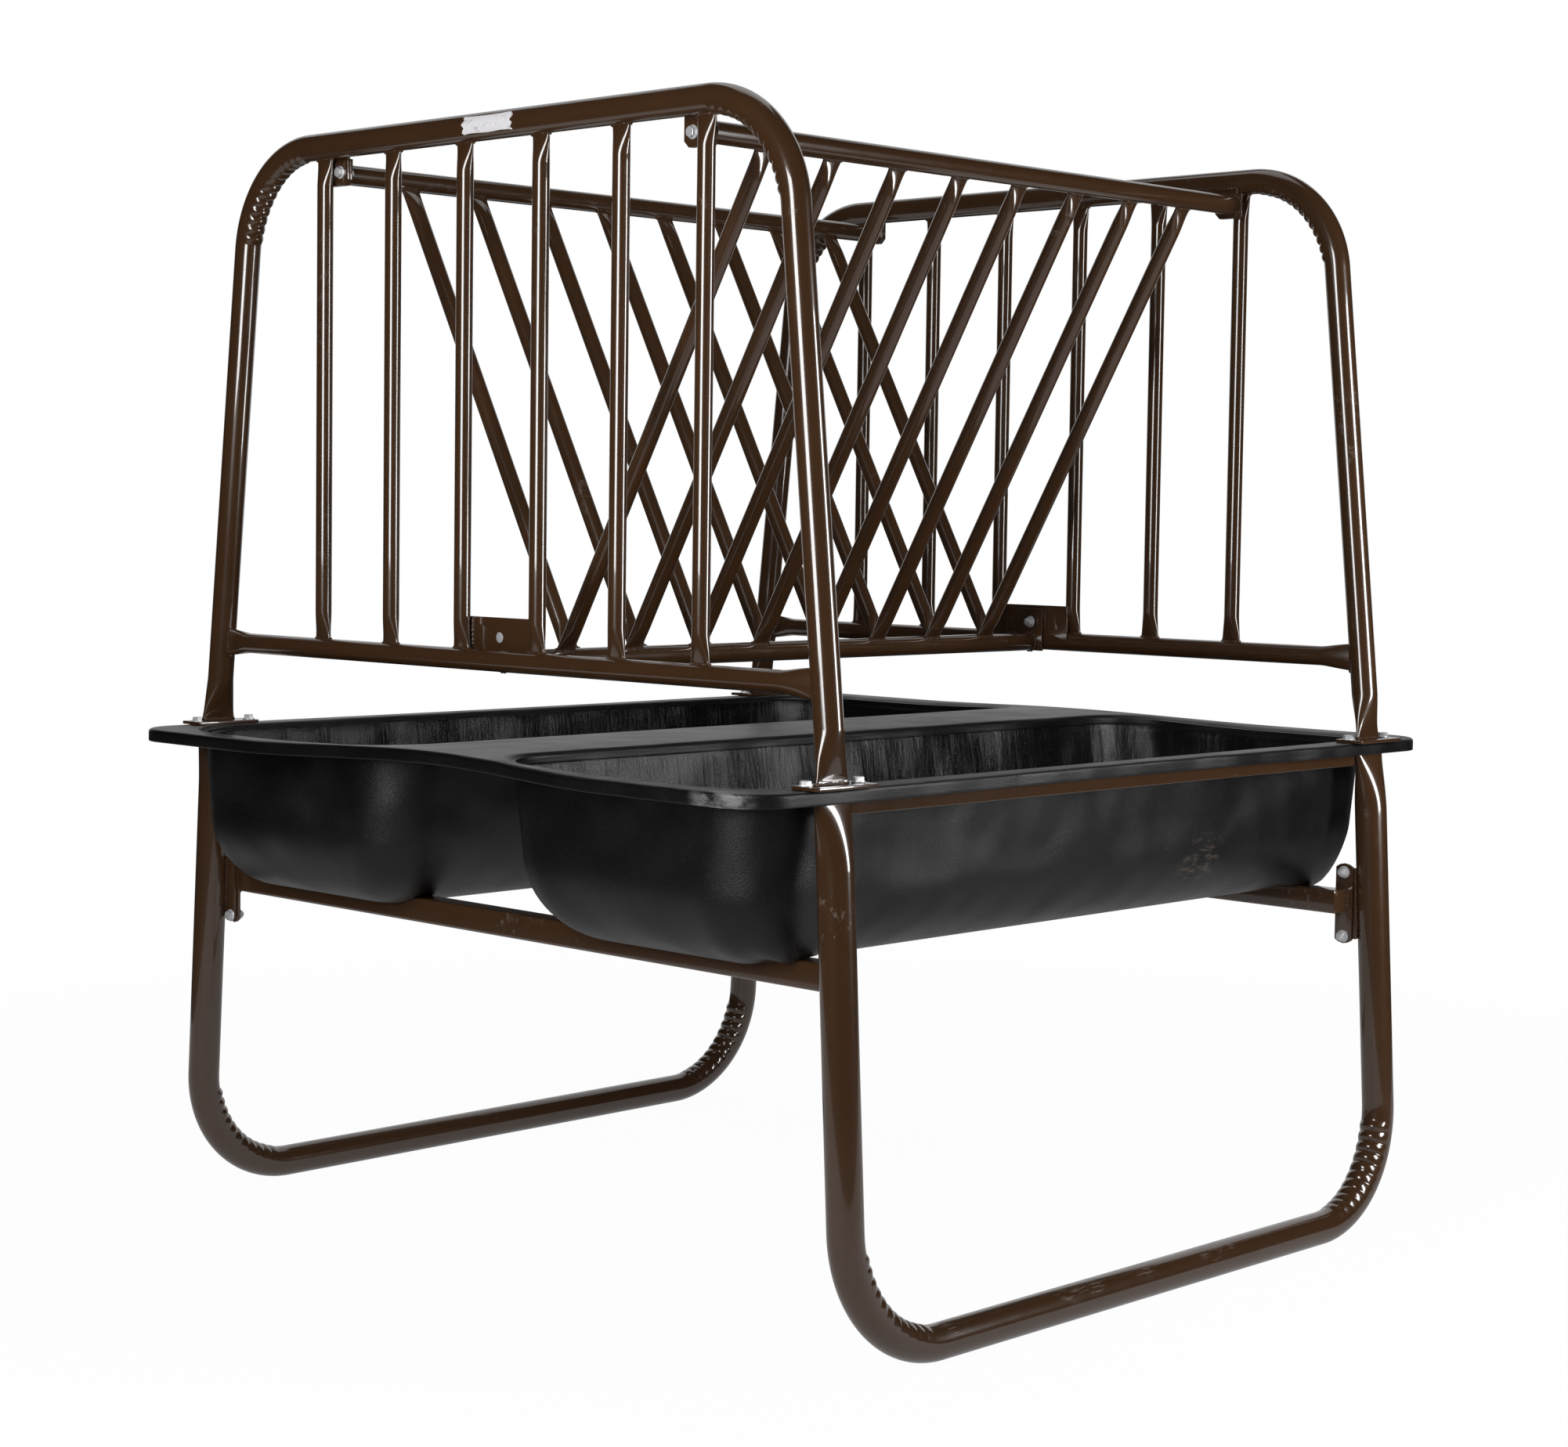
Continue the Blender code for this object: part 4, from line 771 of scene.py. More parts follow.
def flat_ring(half_wide, half_thin):
    """Outline of a pressed tube's end: straight sides joined by half circles."""
    turn = 2 * np.pi * np.arange(64) / 64
    flat = np.abs(np.sin(turn)) > 0.72
    straight = half_wide - half_thin
    rounded = straight * np.sign(np.cos(turn)) + half_thin * np.cos(turn)
    wide = np.where(flat, straight * np.clip(np.cos(turn) / 0.69, -1, 1), rounded)
    return wide, half_thin * np.where(flat, np.sign(np.sin(turn)), np.sin(turn))


def ring_bead(skin, centre):
    """A bead round a rail's end across X: centre + r (cos t, sin t)."""
    turn = (2 * np.pi * np.arange(72) / 72)[:, None]
    bead(skin, np.array(centre) + RAIL_D / 2 * (np.cos(turn) * ACROSS + np.sin(turn) * UP))


def bar_bead(skin, centre, along, wide, out, tube_r, half_wide, half_thin):
    """The bead round a pressed bar's end where it meets a tube's round side.

    A point of the outline is (w, t) in the wide and thin directions, sunk by r - sqrt(r^2 - t^2) to lie
    on the tube. out points from the tube's axis to the bar.
    """
    w, t = flat_ring(half_wide, half_thin)
    rise = np.sqrt(np.maximum(tube_r ** 2 - t ** 2, 0))
    thin = np.cross(along, out)
    bead(skin, np.array(centre) + w[:, None] * wide + t[:, None] * thin + rise[:, None] * out)


def turned(skin, seat, axis, heights, reaches):
    """A closed body round an axis: seat + height axis + reach (cos t, sin t) across the axis."""
    first = ACROSS if abs(axis[1]) < 0.5 else ALONG
    turn = 2 * np.pi * np.arange(SPOKES)[:, None] / SPOKES
    ring = np.cos(turn) * first + np.sin(turn) * np.cross(axis, first)
    heights, reaches = np.broadcast_arrays(heights, reaches, np.ones(SPOKES))[:2]
    skin.solid(seat + heights[..., None] * axis + reaches[..., None] * ring)


def hexagon(skin, seat, axis, height, both):
    """A hexagon whose corners a cone cuts: with R the reach and f half the flats, z = H - (R - f) tan 30."""
    turn = 2 * np.pi * np.arange(SPOKES) / SPOKES
    flat = HEX_FLATS / 2
    reach = flat / np.cos((turn + np.pi / 6) % (np.pi / 3) - np.pi / 6)
    cut = (reach - flat) * math.tan(math.radians(HEX_CHAMFER)) + 0.0002
    plain = np.ones(SPOKES)
    heights = [height * plain, height - cut, cut if both else 0 * plain]
    reaches = [0.96 * flat * plain, reach, reach]
    if both:
        heights.append(0 * plain)
        reaches.append(0.96 * flat * plain)
    turned(skin, seat, axis, np.array(heights), np.array(reaches))


def washer(skin, seat, axis):
    """A flat disc with softened edges."""
    heights = WASHER_T * np.array((0, 0.25, 0.75, 1.0))[:, None]
    turned(skin, seat, axis, heights, WASHER_R - np.array((0.0003, 0, 0, 0.0003))[:, None])


def bolt(skin, seat, axis, grip, domed=False):
    """A bolt with its nut: head at the seat, shank through the grip, nut and threaded tip beyond.

    A domed head is the ellipse (R cos a, H sin a) turned round the axis; the thread's reach swings
    between two radii every 0.6 mm.
    """
    seat = np.array(seat, float)
    far = seat - axis * grip
    start = 0.001
    if domed:
        rise = np.radians(np.linspace(0, 84, 12))[:, None]
        turned(skin, seat - 0.0004 * axis, axis, DOME_HEIGHT * np.sin(rise), DOME_R * np.cos(rise))
    else:
        washer(skin, seat, axis)
        hexagon(skin, seat + WASHER_T * axis, axis, HEAD_HEIGHT, False)
        start = WASHER_T + 0.002
    washer(skin, far, -axis)
    hexagon(skin, far - WASHER_T * axis, -axis, NUT_HEIGHT, True)
    tip = WASHER_T + NUT_HEIGHT + TIP
    thread = np.arange(WASHER_T + NUT_HEIGHT - 0.001, tip - 0.0012, THREAD_STEP)
    swing = BOLT_R - THREAD_DEPTH * (np.arange(len(thread)) % 2)
    heights = np.concatenate(((start, -grip), -grip - thread, (-grip - tip + 0.0008, -grip - tip)))
    reaches = np.concatenate(((BOLT_R, BOLT_R), swing, (BOLT_R - THREAD_DEPTH, BOLT_R - 0.0012)))
    turned(skin, seat, axis, heights[:, None], reaches[:, None])


def raised_cosine(distance, half):
    """A smooth hump: cos^2 of a quarter turn over half, nothing beyond it."""
    return np.cos(np.pi / 2 * np.clip(np.abs(distance) / half, 0, 1)) ** 2


# How the trough's columns are spread over a corner, an end and a long side
CORNER = np.linspace(0, 1, 25)
HALF_CORNER = len(CORNER) // 2
END = np.linspace(0, 1, 17)[1:-1]
MIDDLE_X = np.linspace(STRAIGHT_HALF, -STRAIGHT_HALF, 51)
NEAR_CORNER = np.linspace(0, 1, 12)[1:-1]


def end_reach(y):
    """Half-length of the rim at y: the end is drawn in at the divider by a raised cosine."""
    return RIM_HALF_LENGTH - END_DRAW_IN[0] * raised_cosine(y, END_DRAW_IN[1])


def crown(y):
    """Rise of the top surface towards the divider: a raised cosine."""
    return CROWN[0] * raised_cosine(y, CROWN[1])


def arc(x, y, radius, start):
    """A quarter circle: centre plus radius times (cos, sin) of start + 90 degrees times the share."""
    angle = np.radians(start + 90 * CORNER)
    return np.stack((x + radius * np.cos(angle), y + radius * np.sin(angle)), axis=-1)


def long_side(reach, y):
    """Points of a long side from +reach to -reach, on fixed lines over its middle part."""
    near = reach + (STRAIGHT_HALF - reach) * NEAR_CORNER
    x = np.concatenate((near, np.broadcast_to(MIDDLE_X, (len(reach), len(MIDDLE_X))), -near[:, ::-1]), axis=1)
    return np.stack((x, y + 0 * x), axis=-1)


def end_side(x, first, last):
    """Points of a short side between two places across."""
    y = first + (last - first) * END
    return np.stack((x + 0 * y, y), axis=-1)


def rim_outline(inset):
    """Outlines of the back half of the rim and then of the line along the divider, one row per inset.

    The long side bows in by B (1 - (x / 0.5)^2), and the ends follow end_reach. The columns match those
    of basin_outline: the inner corners' columns run round the tip where the divider meets the rim.
    """
    length, width, radius = RIM_HALF_LENGTH - inset, RIM_HALF_WIDTH - inset, RIM_CORNER_R - inset
    side = long_side(length - radius, width)
    side[..., 1] -= SIDE_BOW * np.clip(1 - (side[..., 0] / STRAIGHT_HALF) ** 2, 0, 1)
    end_y = np.concatenate((
        end_side(length, width - radius, CENTRE_CORNER + 0 * length)[..., 1],
        CENTRE_CORNER * (1 - np.arange(HALF_CORNER + 1) / HALF_CORNER) + 0 * length,
    ), axis=1)
    tip = end_reach(0) - inset
    tip_x = tip - CENTRE_CORNER * np.arange(1, HALF_CORNER + 1) / HALF_CORNER
    right_x = np.concatenate((end_reach(end_y) - inset, tip_x), axis=1)
    right = np.stack((right_x, np.concatenate((end_y, 0 * tip_x), axis=1)), axis=-1)
    left = right * np.array((-1.0, 1.0))
    middle = long_side(tip - CENTRE_CORNER, 0.0)[:, ::-1]
    first = arc(length - radius, width - radius, radius, 0)
    second = arc(radius - length, width - radius, radius, 90)
    return np.concatenate((first, side, second, left, middle, right[:, ::-1]), axis=1)


def basin_outline(depth, offset):
    """Rounded outlines of a basin, one row per depth below the rim; offset grows them to the outer skin.

    The shoulder s = sin a with 1 - depth / D = cos a draws the sides in; drafts grow with depth; near the
    floor a quarter circle of radius R draws them in by R - sqrt(R^2 - rise^2).
    """
    floor_depth = BASIN_DEPTH - WALL_T + offset
    shoulder = np.sqrt(1 - (1 - np.clip(depth / SHOULDER_DEPTH, 0, 1)) ** 2)
    share = depth / BASIN_DEPTH
    radius = BOTTOM_R - WALL_T + offset
    rise = np.clip(depth - (floor_depth - radius), 0, radius)
    inset = radius - np.sqrt(radius ** 2 - rise ** 2)
    length = BASIN_HALF_LENGTH - SHOULDER_X * shoulder - LENGTH_DRAFT * share - inset + offset
    outer = BASIN_OUTER_Y - SHOULDER_Y * shoulder - OUTER_DRAFT * share - inset + offset
    inner = BASIN_INNER_Y + SHOULDER_Y * shoulder + INNER_DRAFT * share + inset - offset
    tightened = 0.028 * shoulder + inset - offset
    outer_r = np.maximum(LEAST_CORNER_R, OUTER_CORNER_R - tightened)
    inner_r = np.maximum(LEAST_CORNER_R, INNER_CORNER_R - tightened * 0.6)
    return np.concatenate((
        arc(length - outer_r, outer - outer_r, outer_r, 0),
        long_side(length - outer_r, outer),
        arc(outer_r - length, outer - outer_r, outer_r, 90),
        end_side(-length, outer - outer_r, inner + inner_r),
        arc(inner_r - length, inner + inner_r, inner_r, 180),
        long_side(length - inner_r, inner)[:, ::-1],
        arc(length - inner_r, inner + inner_r, inner_r, 270),
        end_side(length, inner + inner_r, outer - outer_r),
    ), axis=1)


def rim_rows(inset, drop):
    """Rows along the rim, each a drop below the crowned top."""
    outline = rim_outline(inset)
    z = RIM_Z + crown(outline[..., 1]) - drop
    return np.concatenate((outline, z[..., None]), axis=-1)


def basin_rows(depth, offset):
    """Rows on a basin's wall; the crown dies out with depth."""
    outline = basin_outline(depth, offset)
    z = RIM_Z - depth + crown(outline[..., 1]) * (1 - depth / BASIN_DEPTH)
    return np.concatenate((outline, z[..., None]), axis=-1)


def basin_skin(offset):
    """Rows of one basin from under its shoulder to its floor.

    Over the floor the last row of the wall shrinks to a line down the middle. The outer corners sag by
    raised cosines along and across that grow down the wall.
    """
    floor_depth = BASIN_DEPTH - WALL_T + offset
    radius = BOTTOM_R - WALL_T + offset
    wall = np.linspace(SHOULDER_DEPTH, floor_depth - radius, 14)
    curve = floor_depth - radius * (1 - np.sin(np.linspace(0, np.pi / 2, 19)[1:]))
    rows = basin_rows(np.concatenate((wall, curve))[:, None], offset)
    x, y, z = rows[-1].T
    middle = (y.max() + y.min()) / 2
    line = np.stack((np.clip(x, -STRAIGHT_HALF, STRAIGHT_HALF), middle + 0 * y, z.mean() + 0 * z), axis=-1)
    share = np.linspace(0, 1, 13)[1:, None, None]
    rows = np.concatenate((rows, rows[-1] + (line - rows[-1]) * share))
    low = np.clip((SAG_FROM_Z - rows[..., 2]) / (SAG_FROM_Z - SAG_FULL_Z), 0, 1)
    for sag, x, half_x, y, half_y in (CORNER_SAG, MEMBER_SAG):
        hump = raised_cosine(np.abs(rows[..., 0]) - x, half_x) * raised_cosine(rows[..., 1] - y, half_y)
        rows[..., 2] -= sag * low * hump
    return rows


def raise_over_members(rows, top, half):
    """Lift the floor over both cross members to a ridge with steep sides and rounded edges.

    z becomes (z + p + sqrt((z - p)^2 + k^2)) / 2, the rounded greater one of z and the ridge p, where p
    falls by the slope times the distance beyond the ridge's half width.
    """
    x, z = np.abs(rows[..., 0]), rows[..., 2]
    ridge = top - RIDGE_SLOPE * np.clip(np.abs(x - MEMBER_X) - half, 0, None)
    gap = np.clip(z - ridge, None, RIDGE_REACH)
    rows[..., 2] = z + (np.sqrt(gap ** 2 + RIDGE_ROUND ** 2) - gap) / 2 * (gap < RIDGE_REACH)
    return rows


def drawing_marks(rows):
    """Push the wall out and in by the moulding's marks: waves along the outline that fade down the wall.

    A point moves along the surface's own normal, the cross product of its row and column steps.
    """
    s = np.cumsum(np.linalg.norm(np.roll(rows[8], -1, axis=0) - rows[8], axis=-1))
    waves = np.sin(s * 149.0 + 2 * np.sin(s * 31.0)) + 0.8 * np.sin(s * 91.0 + 1.0)
    waves += 0.5 * np.sin(s * 263.0 + 2.0)
    depth = RIM_Z - rows[..., 2]
    fade = np.clip((depth - 0.012) / 0.02, 0, 1) * np.clip((0.11 - depth) / 0.07, 0, 1)
    across = np.roll(rows, -1, axis=1) - np.roll(rows, 1, axis=1)
    normal = np.cross(across, np.gradient(rows, axis=0))
    normal /= np.maximum(np.linalg.norm(normal, axis=-1, keepdims=True), 1e-12)
    return rows + normal * (0.0006 * waves * fade)[..., None]


def trough_skin():
    """Both halves of the trough: the lip's profile along the rim, and the skins above and below."""
    turn = np.linspace(0, np.pi / 2, 9)
    inset = np.concatenate((
        (LIP_T + 0.004, LIP_T + 0.0012, LIP_T, LIP_T, LIP_T - 0.0010, 0.0012, 0.0003, 0, 0, 0, 0),
        LIP_FILLET * (1 - np.cos(turn)),
    ))
    drop = np.concatenate((
        (FLANGE_T, FLANGE_T + 0.0012, FLANGE_T + 0.004, LIP_HEIGHT - 0.001, LIP_HEIGHT, LIP_HEIGHT),
        (LIP_HEIGHT - 0.0004, LIP_HEIGHT - 0.0014, 0.015, 0.012, 0.009),
        LIP_FILLET * (1 - np.sin(turn)),
    ))
    lip = rim_rows(inset[:, None], drop[:, None])
    columns = lip.shape[1]
    left_tip = 2 * len(CORNER) + len(MIDDLE_X) + 2 * len(NEAR_CORNER) + len(END) + HALF_CORNER
    right_tip = columns - len(END) - HALF_CORNER - 1
    edge = np.arange(right_tip, columns + left_tip + 1) % columns
    turn = np.linspace(0, np.pi / 2, 13)[:, None]
    shoulder = basin_rows(SHOULDER_DEPTH * (1 - np.cos(turn)), 0.0)
    share = np.linspace(0, 1, 7)[:-1, None, None]
    flange = lip[-1] + (shoulder[0] - lip[-1]) * share
    top = drawing_marks(np.concatenate((flange, shoulder, basin_skin(0.0)[1:])))
    top = raise_over_members(top, *INNER_RIDGE)
    outside = basin_skin(WALL_T)
    shelf = outside[0].copy()
    shelf[:, 2] = RIM_Z + crown(shelf[:, 1]) - FLANGE_T
    bottom = np.concatenate((lip[0] + (shelf - lip[0]) * share, shelf[None], outside))
    bottom = raise_over_members(bottom, *OUTER_RIDGE)
    for rows in (lip, top, bottom):
        rows[..., 0] += RIGHT_END_GAIN * np.clip((rows[..., 0] - RIGHT_END_FROM) / RIGHT_END_LENGTH, 0, 1)
    skin = Skin()
    for side in (1, -1):
        mirror = np.array((1, side, 1))
        skin.grid(lip[:, edge] * mirror, ring=False)
        skin.grid(top * mirror)
        skin.grid(bottom * mirror)
    return skin


def mark_inside(mesh):
    """Set the attribute inside to 1 where a basin's skin faces its own middle line: (p - c) n < 0."""
    places, normals = np.empty((2, len(mesh.vertices) * 3), np.float32)
    mesh.vertices.foreach_get("co", places)
    mesh.vertices.foreach_get("normal", normals)
    places, normals = places.reshape(-1, 3), normals.reshape(-1, 3)
    x, y, z = places.T
    middle = np.stack((np.clip(x, -STRAIGHT_HALF, STRAIGHT_HALF), BASIN_MIDDLE_Y * np.sign(y), z), axis=1)
    facing = ((places - middle) * normals).sum(axis=1) < 0
    inside = facing & (z < RIM_Z - 0.008) & (np.abs(y) < BASIN_OUTER_Y + 0.004)
    layer = mesh.attributes.new("inside", "FLOAT", "POINT")
    layer.data.foreach_set("value", inside.astype(np.float32))


class FEEDER_OT_finishes(bpy.types.Operator):
    """Give the solids that stay their finishes"""

    bl_idname = "feeder.finishes"
    bl_label = "Finishes of the solids"

    def execute(self, context):
        slots = {row["node"]: row["material_slot"] for row in frame["record"]["subparts"]}
        for node, piece in frame["nodes"].items():
            piece.data.materials.clear()
            piece.data.materials.append(material(slots[node]))
        return {"FINISHED"}


class FEEDER_OT_trough(bpy.types.Operator):
    """Make the moulded trough with its two basins"""

    bl_idname = "feeder.trough"
    bl_label = "Trough"

    def execute(self, context):
        piece = trough_skin().make("trough_moulding", POLY, "trough", sharp=50.0, merge=2e-5)
        mark_inside(piece.data)
        return {"FINISHED"}


class FEEDER_OT_under_frame(bpy.types.Operator):
    """Make the steel angles, the cross members and the foot plates"""

    bl_idname = "feeder.under_frame"
    bl_label = "Angles, members and foot plates"

    def execute(self, context):
        for side, sign in SIDES:
            self.angle(side, sign)
        for end, sign in ENDS:
            self.member(end, sign)
            for side, across in SIDES:
                self.foot_plate(end, side, across)
        return {"FINISHED"}

    def angle(self, side, sign):
        """An L carried along X; beyond the web's end the web's points rise to the shelf."""
        face, top, size, thick = ANGLE_FACE_Y, ANGLE_TOP_Z, ANGLE_LEG, ANGLE_T
        corners = [
            (face, top), (face - size, top), (face - size, top - thick), (face - thick, top - thick),
            (face - thick, top - size), (face, top - size),
        ]
        outline = rounded_outline(corners, ANGLE_CORNER_R, 4)
        short = np.stack((outline[:, 0], np.maximum(outline[:, 1], top - thick)), axis=1)
        stations = (
            (-ANGLE_END, short), (-WEB_END, short), (-WEB_END, outline),
            (WEB_END, outline), (WEB_END, short), (ANGLE_END, short),
        )
        skin = Skin()
        rows = [np.stack((x + 0 * yz[:, 0], sign * yz[:, 0], yz[:, 1]), axis=-1) for x, yz in stations]
        skin.solid(np.array(rows))
        skin.make(f"trough_angle_{side}_bar", COAT, f"trough_angle_{side}")

    def member(self, end, sign):
        """A square tube with rounded corners and capped ends, and a plate at each end."""
        half, reach = MEMBER_SIZE / 2, MEMBER_HALF_LENGTH
        outer = rounded_outline(rectangle((-half, half), (-half, half)), MEMBER_CORNER_R, 7)
        inner, cap = outer * MEMBER_CAP_SHARE, reach - MEMBER_CAP
        stations = ((-reach, inner), (-cap, outer), (cap, outer), (reach, inner))
        middle = np.array((sign * MEMBER_X, 0, MEMBER_TOP_Z - half))
        skin = Skin()
        rows = [middle + np.stack((xz[:, 0], y + 0 * xz[:, 0], xz[:, 1]), axis=-1) for y, xz in stations]
        skin.solid(np.array(rows))
        for _, across in SIDES:
            corners = self.plate(across, PLATE_INNER[end])
            crossing_plate(skin, corners, MEMBER_PLATE_X, sign, MEMBER_PLATE_CORNER_R)
        skin.make(f"cross_member_{end}_tube", COAT, f"cross_member_{end}")

    def plate(self, across, inner):
        """Outline of a member plate in y and z: straight sides, top and bottom edges arched by a parabola."""
        share = np.linspace(0, 1, 5)[1:-1]
        outer, (bottom, top) = MEMBER_PLATE_OUTER, MEMBER_PLATE_Z
        y = inner + (outer - inner) * share
        arch = MEMBER_PLATE_ARCH * (1 - (2 * share - 1) ** 2)
        low = [(inner, bottom), *zip(y, bottom - arch), (outer, bottom)]
        high = [(outer, top), *zip(y[::-1], top + arch), (inner, top)]
        return [(across * a, b) for a, b in low + high]

    def foot_plate(self, end, side, across):
        """A flat plate with softened edges."""
        half_x, half_y = FOOT_PLATE_HALF
        outline = rounded_outline(rectangle((-half_x, half_x), (-half_y, half_y)), FOOT_PLATE_CORNER_R)
        skin = Skin()
        place = FOOT_PLATE_X[end], across * FOOT_PLATE_Y, FOOT_PLATE_LOW_Z
        skin.solid(plate_points(outline, place, ALONG, ACROSS, UP))
        node = f"foot_plate_{end}_{side}"
        skin.make(f"{node}_steel", COAT, node)


class FEEDER_OT_leg_hoops(bpy.types.Operator):
    """Make the two lower hoops with their tabs"""

    bl_idname = "feeder.leg_hoops"
    bl_label = "Leg hoops"

    def execute(self, context):
        lean = math.atan(LEG_LEAN)
        leg_end = (LEG_TOP_Z - LEG_D / 2) / math.cos(lean)
        stations = hoop(LEG_X, 0.0, leg_end, LEG_BEND_R, LEG_RIPPLES, LEG_PINCH)
        low, high = LEG_SHIFT_Z
        for side, sign in SIDES:
            base = np.array((0, sign * GROUND_RAIL_Y, LEG_D / 2))
            second = np.array((0, -sign * math.sin(lean), math.cos(lean)))
            third = np.array((0, sign * math.cos(lean), math.sin(lean)))
            points = hoop_surface(stations, base, ALONG, second, third, LEG_D / 2, True)
            away = LEG_TOP_Y - leg_y(LEG_TOP_Z)
            points[..., 1] += sign * away * np.clip((points[..., 2] - low) / (high - low), 0, 1)
            points[..., 2] = np.minimum(points[..., 2], LEG_TOP_Z)
            skin = Skin()
            skin.solid(points)
            for name, end in ENDS:
                inner = sign * (PLATE_INNER[name] + TAB_GAP)
                corners = rectangle((inner, sign * TAB_OUTER[0]), TAB_Z)
                corners[2] = (sign * TAB_OUTER[1], TAB_Z[1])
                crossing_plate(skin, corners, TAB_X, end, TAB_CORNER_R)
            skin.make(f"leg_hoop_{side}_tube", COAT, f"leg_hoop_{side}")
        return {"FINISHED"}


class FEEDER_OT_end_hoops(bpy.types.Operator):
    """Make the two inverted end hoops with the hangers for the rack"""

    bl_idname = "feeder.end_hoops"
    bl_label = "End hoops"

    def execute(self, context):
        height = FRAME_TOP_Z - FRAME_FOOT_Z
        stations = hoop(FRAME_CORNER_Y, FRAME_SPREAD, height, FRAME_BEND_R, FRAME_RIPPLES, FRAME_PINCH)
        for end, sign in ENDS:
            base = np.array((sign * FRAME_X, 0, FRAME_TOP_Z))
            points = hoop_surface(stations, base, ACROSS, -UP, ALONG, FRAME_D / 2, False)
            points[..., 2] = np.maximum(points[..., 2], FRAME_FOOT_Z)
            skin = Skin()
            skin.solid(points)
            for side, across in SIDES:
                inner = RACK_Y[side] - across * HANGER_IN
                low, high = RACK_TOP_Z - RACK_PLATE_HALF, RACK_TOP_Z + HANGER_ABOVE
                corners = cut_corners(inner, inner + across * HANGER_WIDTH, low, high, across * PLATE_CUT)
                crossing_plate(skin, corners, HANGER_X, sign)
            skin.make(f"end_hoop_{end}_tube", COAT, f"end_hoop_{end}")
        return {"FINISHED"}


class FEEDER_OT_end_frames(bpy.types.Operator):
    """Make the cross rails and the upright bars of both end frames"""

    bl_idname = "feeder.end_frames"
    bl_label = "End rails and bars"

    def execute(self, context):
        welds = Skin()
        for end, sign in ENDS:
            x = sign * FRAME_X
            half = frame_leg_y(END_RAIL_Z) - FRAME_D / 2 + END_RAIL_IN
            skin = Skin()
            skin.solid(straight_surface(
                (x, -half, END_RAIL_Z), (x, half, END_RAIL_Z), UP, ALONG,
                RAIL_D / 2, END_RAIL_PINCH, RAIL_PINCH_T, FRAME_SPREAD,
            ))
            ys = end_bar_y(end, 3), end_bar_y(end, 2)
            corners = rectangle(ys, (END_RAIL_Z, END_RAIL_Z + END_PLATE_HEIGHT))
            crossing_plate(skin, corners, END_PLATE_X, sign)
            skin.make(f"end_rail_{end}_tube", COAT, f"end_rail_{end}")
            for index in range(END_BARS):
                self.bar(welds, end, x, index)
        welds.make("end_frame_welds", WELD)
        return {"FINISHED"}

    def bar(self, welds, end, x, index):
        """An upright bar: in the hoop's bend of radius R it ends at the height sqrt(R^2 - d^2)."""
        y = end_bar_y(end, index)
        inner_r = FRAME_BEND_R - FRAME_D / 2
        straight = FRAME_CORNER_Y - FRAME_BEND_R * math.tan(math.atan2(1, FRAME_SPREAD) / 2)
        past = max(0.0, abs(y) + END_BAR_HALF_FOOT - straight)
        low = END_RAIL_Z + RAIL_D / 2 - OVERLAP
        top = FRAME_TOP_Z - FRAME_BEND_R + math.sqrt(inner_r ** 2 - past ** 2) + OVERLAP
        skin = Skin()
        skin.solid(straight_surface((x, y, low), (x, y, top), ACROSS, ALONG, BAR_D / 2, BAR_PINCH, PINCH_T))
        node = f"end_bar_{end}_{index + 1}"
        skin.make(f"{node}_tube", COAT, node)
        for z, out, tube_r in ((END_RAIL_Z, UP, RAIL_D / 2), (top + FRAME_D / 2 - OVERLAP, -UP, FRAME_D / 2)):
            bar_bead(welds, (x, y, z), ACROSS, ACROSS, out, tube_r, *BAR_BEAD)


class FEEDER_OT_rack(bpy.types.Operator):
    """Make the hay rack's rails, plates and sloping bars"""

    bl_idname = "feeder.rack"
    bl_label = "Hay rack"

    def execute(self, context):
        welds = Skin()
        low, high = RACK_TOP_Z - RACK_PLATE_HALF, RACK_TOP_Z + RACK_PLATE_HALF
        for side, sign in SIDES:
            y = RACK_Y[side]
            outer = y + sign * (RACK_PLATE_WIDTH - HANGER_IN)
            inner = outer - sign * RACK_PLATE_WIDTH
            corners = cut_corners(inner, outer, low, high, sign * PLATE_CUT)
            self.rail(f"rack_top_rail_{side}", y, RACK_TOP_Z, RACK_RAIL_END_X, corners, RACK_PLATE_X)
            for index in range(RACK_BARS):
                self.bar(welds, side, index)
        corners = rectangle(
            (-BOTTOM_PLATE_HALF, BOTTOM_PLATE_HALF), (RACK_BOTTOM_Z - RAIL_D / 2, BOTTOM_PLATE_TOP),
        )
        self.rail("rack_bottom_rail", 0, RACK_BOTTOM_Z, BOTTOM_RAIL_END_X, corners, BOTTOM_PLATE_X)
        welds.make("rack_welds", WELD)
        return {"FINISHED"}

    def rail(self, node, y, z, reach, corners, plate_x):
        """A round tube along X with a plate at each end."""
        skin = Skin()
        skin.solid(straight_surface((-reach, y, z), (reach, y, z), UP, ACROSS, RAIL_D / 2, PLAIN_END, RAIL_D))
        for _, end in ENDS:
            crossing_plate(skin, corners, plate_x, end)
        skin.make(f"{node}_tube", COAT, node)

    def bar(self, welds, side, index):
        """A sloping bar from the bottom rail to a top rail, pressed thin across the slope."""
        x = (index - (RACK_BARS - 1) / 2) * RACK_BAR_PITCH + RACK_BAR_SHIFT[side]
        low, high = np.array((x, 0, RACK_BOTTOM_Z)), np.array((x, RACK_Y[side], RACK_TOP_Z))
        along = (high - low) / np.linalg.norm(high - low)
        inset = along * (RAIL_D / 2 - OVERLAP)
        thin = np.cross(along, ALONG)
        skin = Skin()
        skin.solid(straight_surface(low + inset, high - inset, ALONG, thin, BAR_D / 2, BAR_PINCH, PINCH_T))
        node = f"rack_bar_{side}_{index + 1}"
        skin.make(f"{node}_tube", COAT, node)
        for centre, out in ((low, along), (high, -along)):
            bar_bead(welds, centre, ALONG, ALONG, out, RAIL_D / 2, *BAR_BEAD)


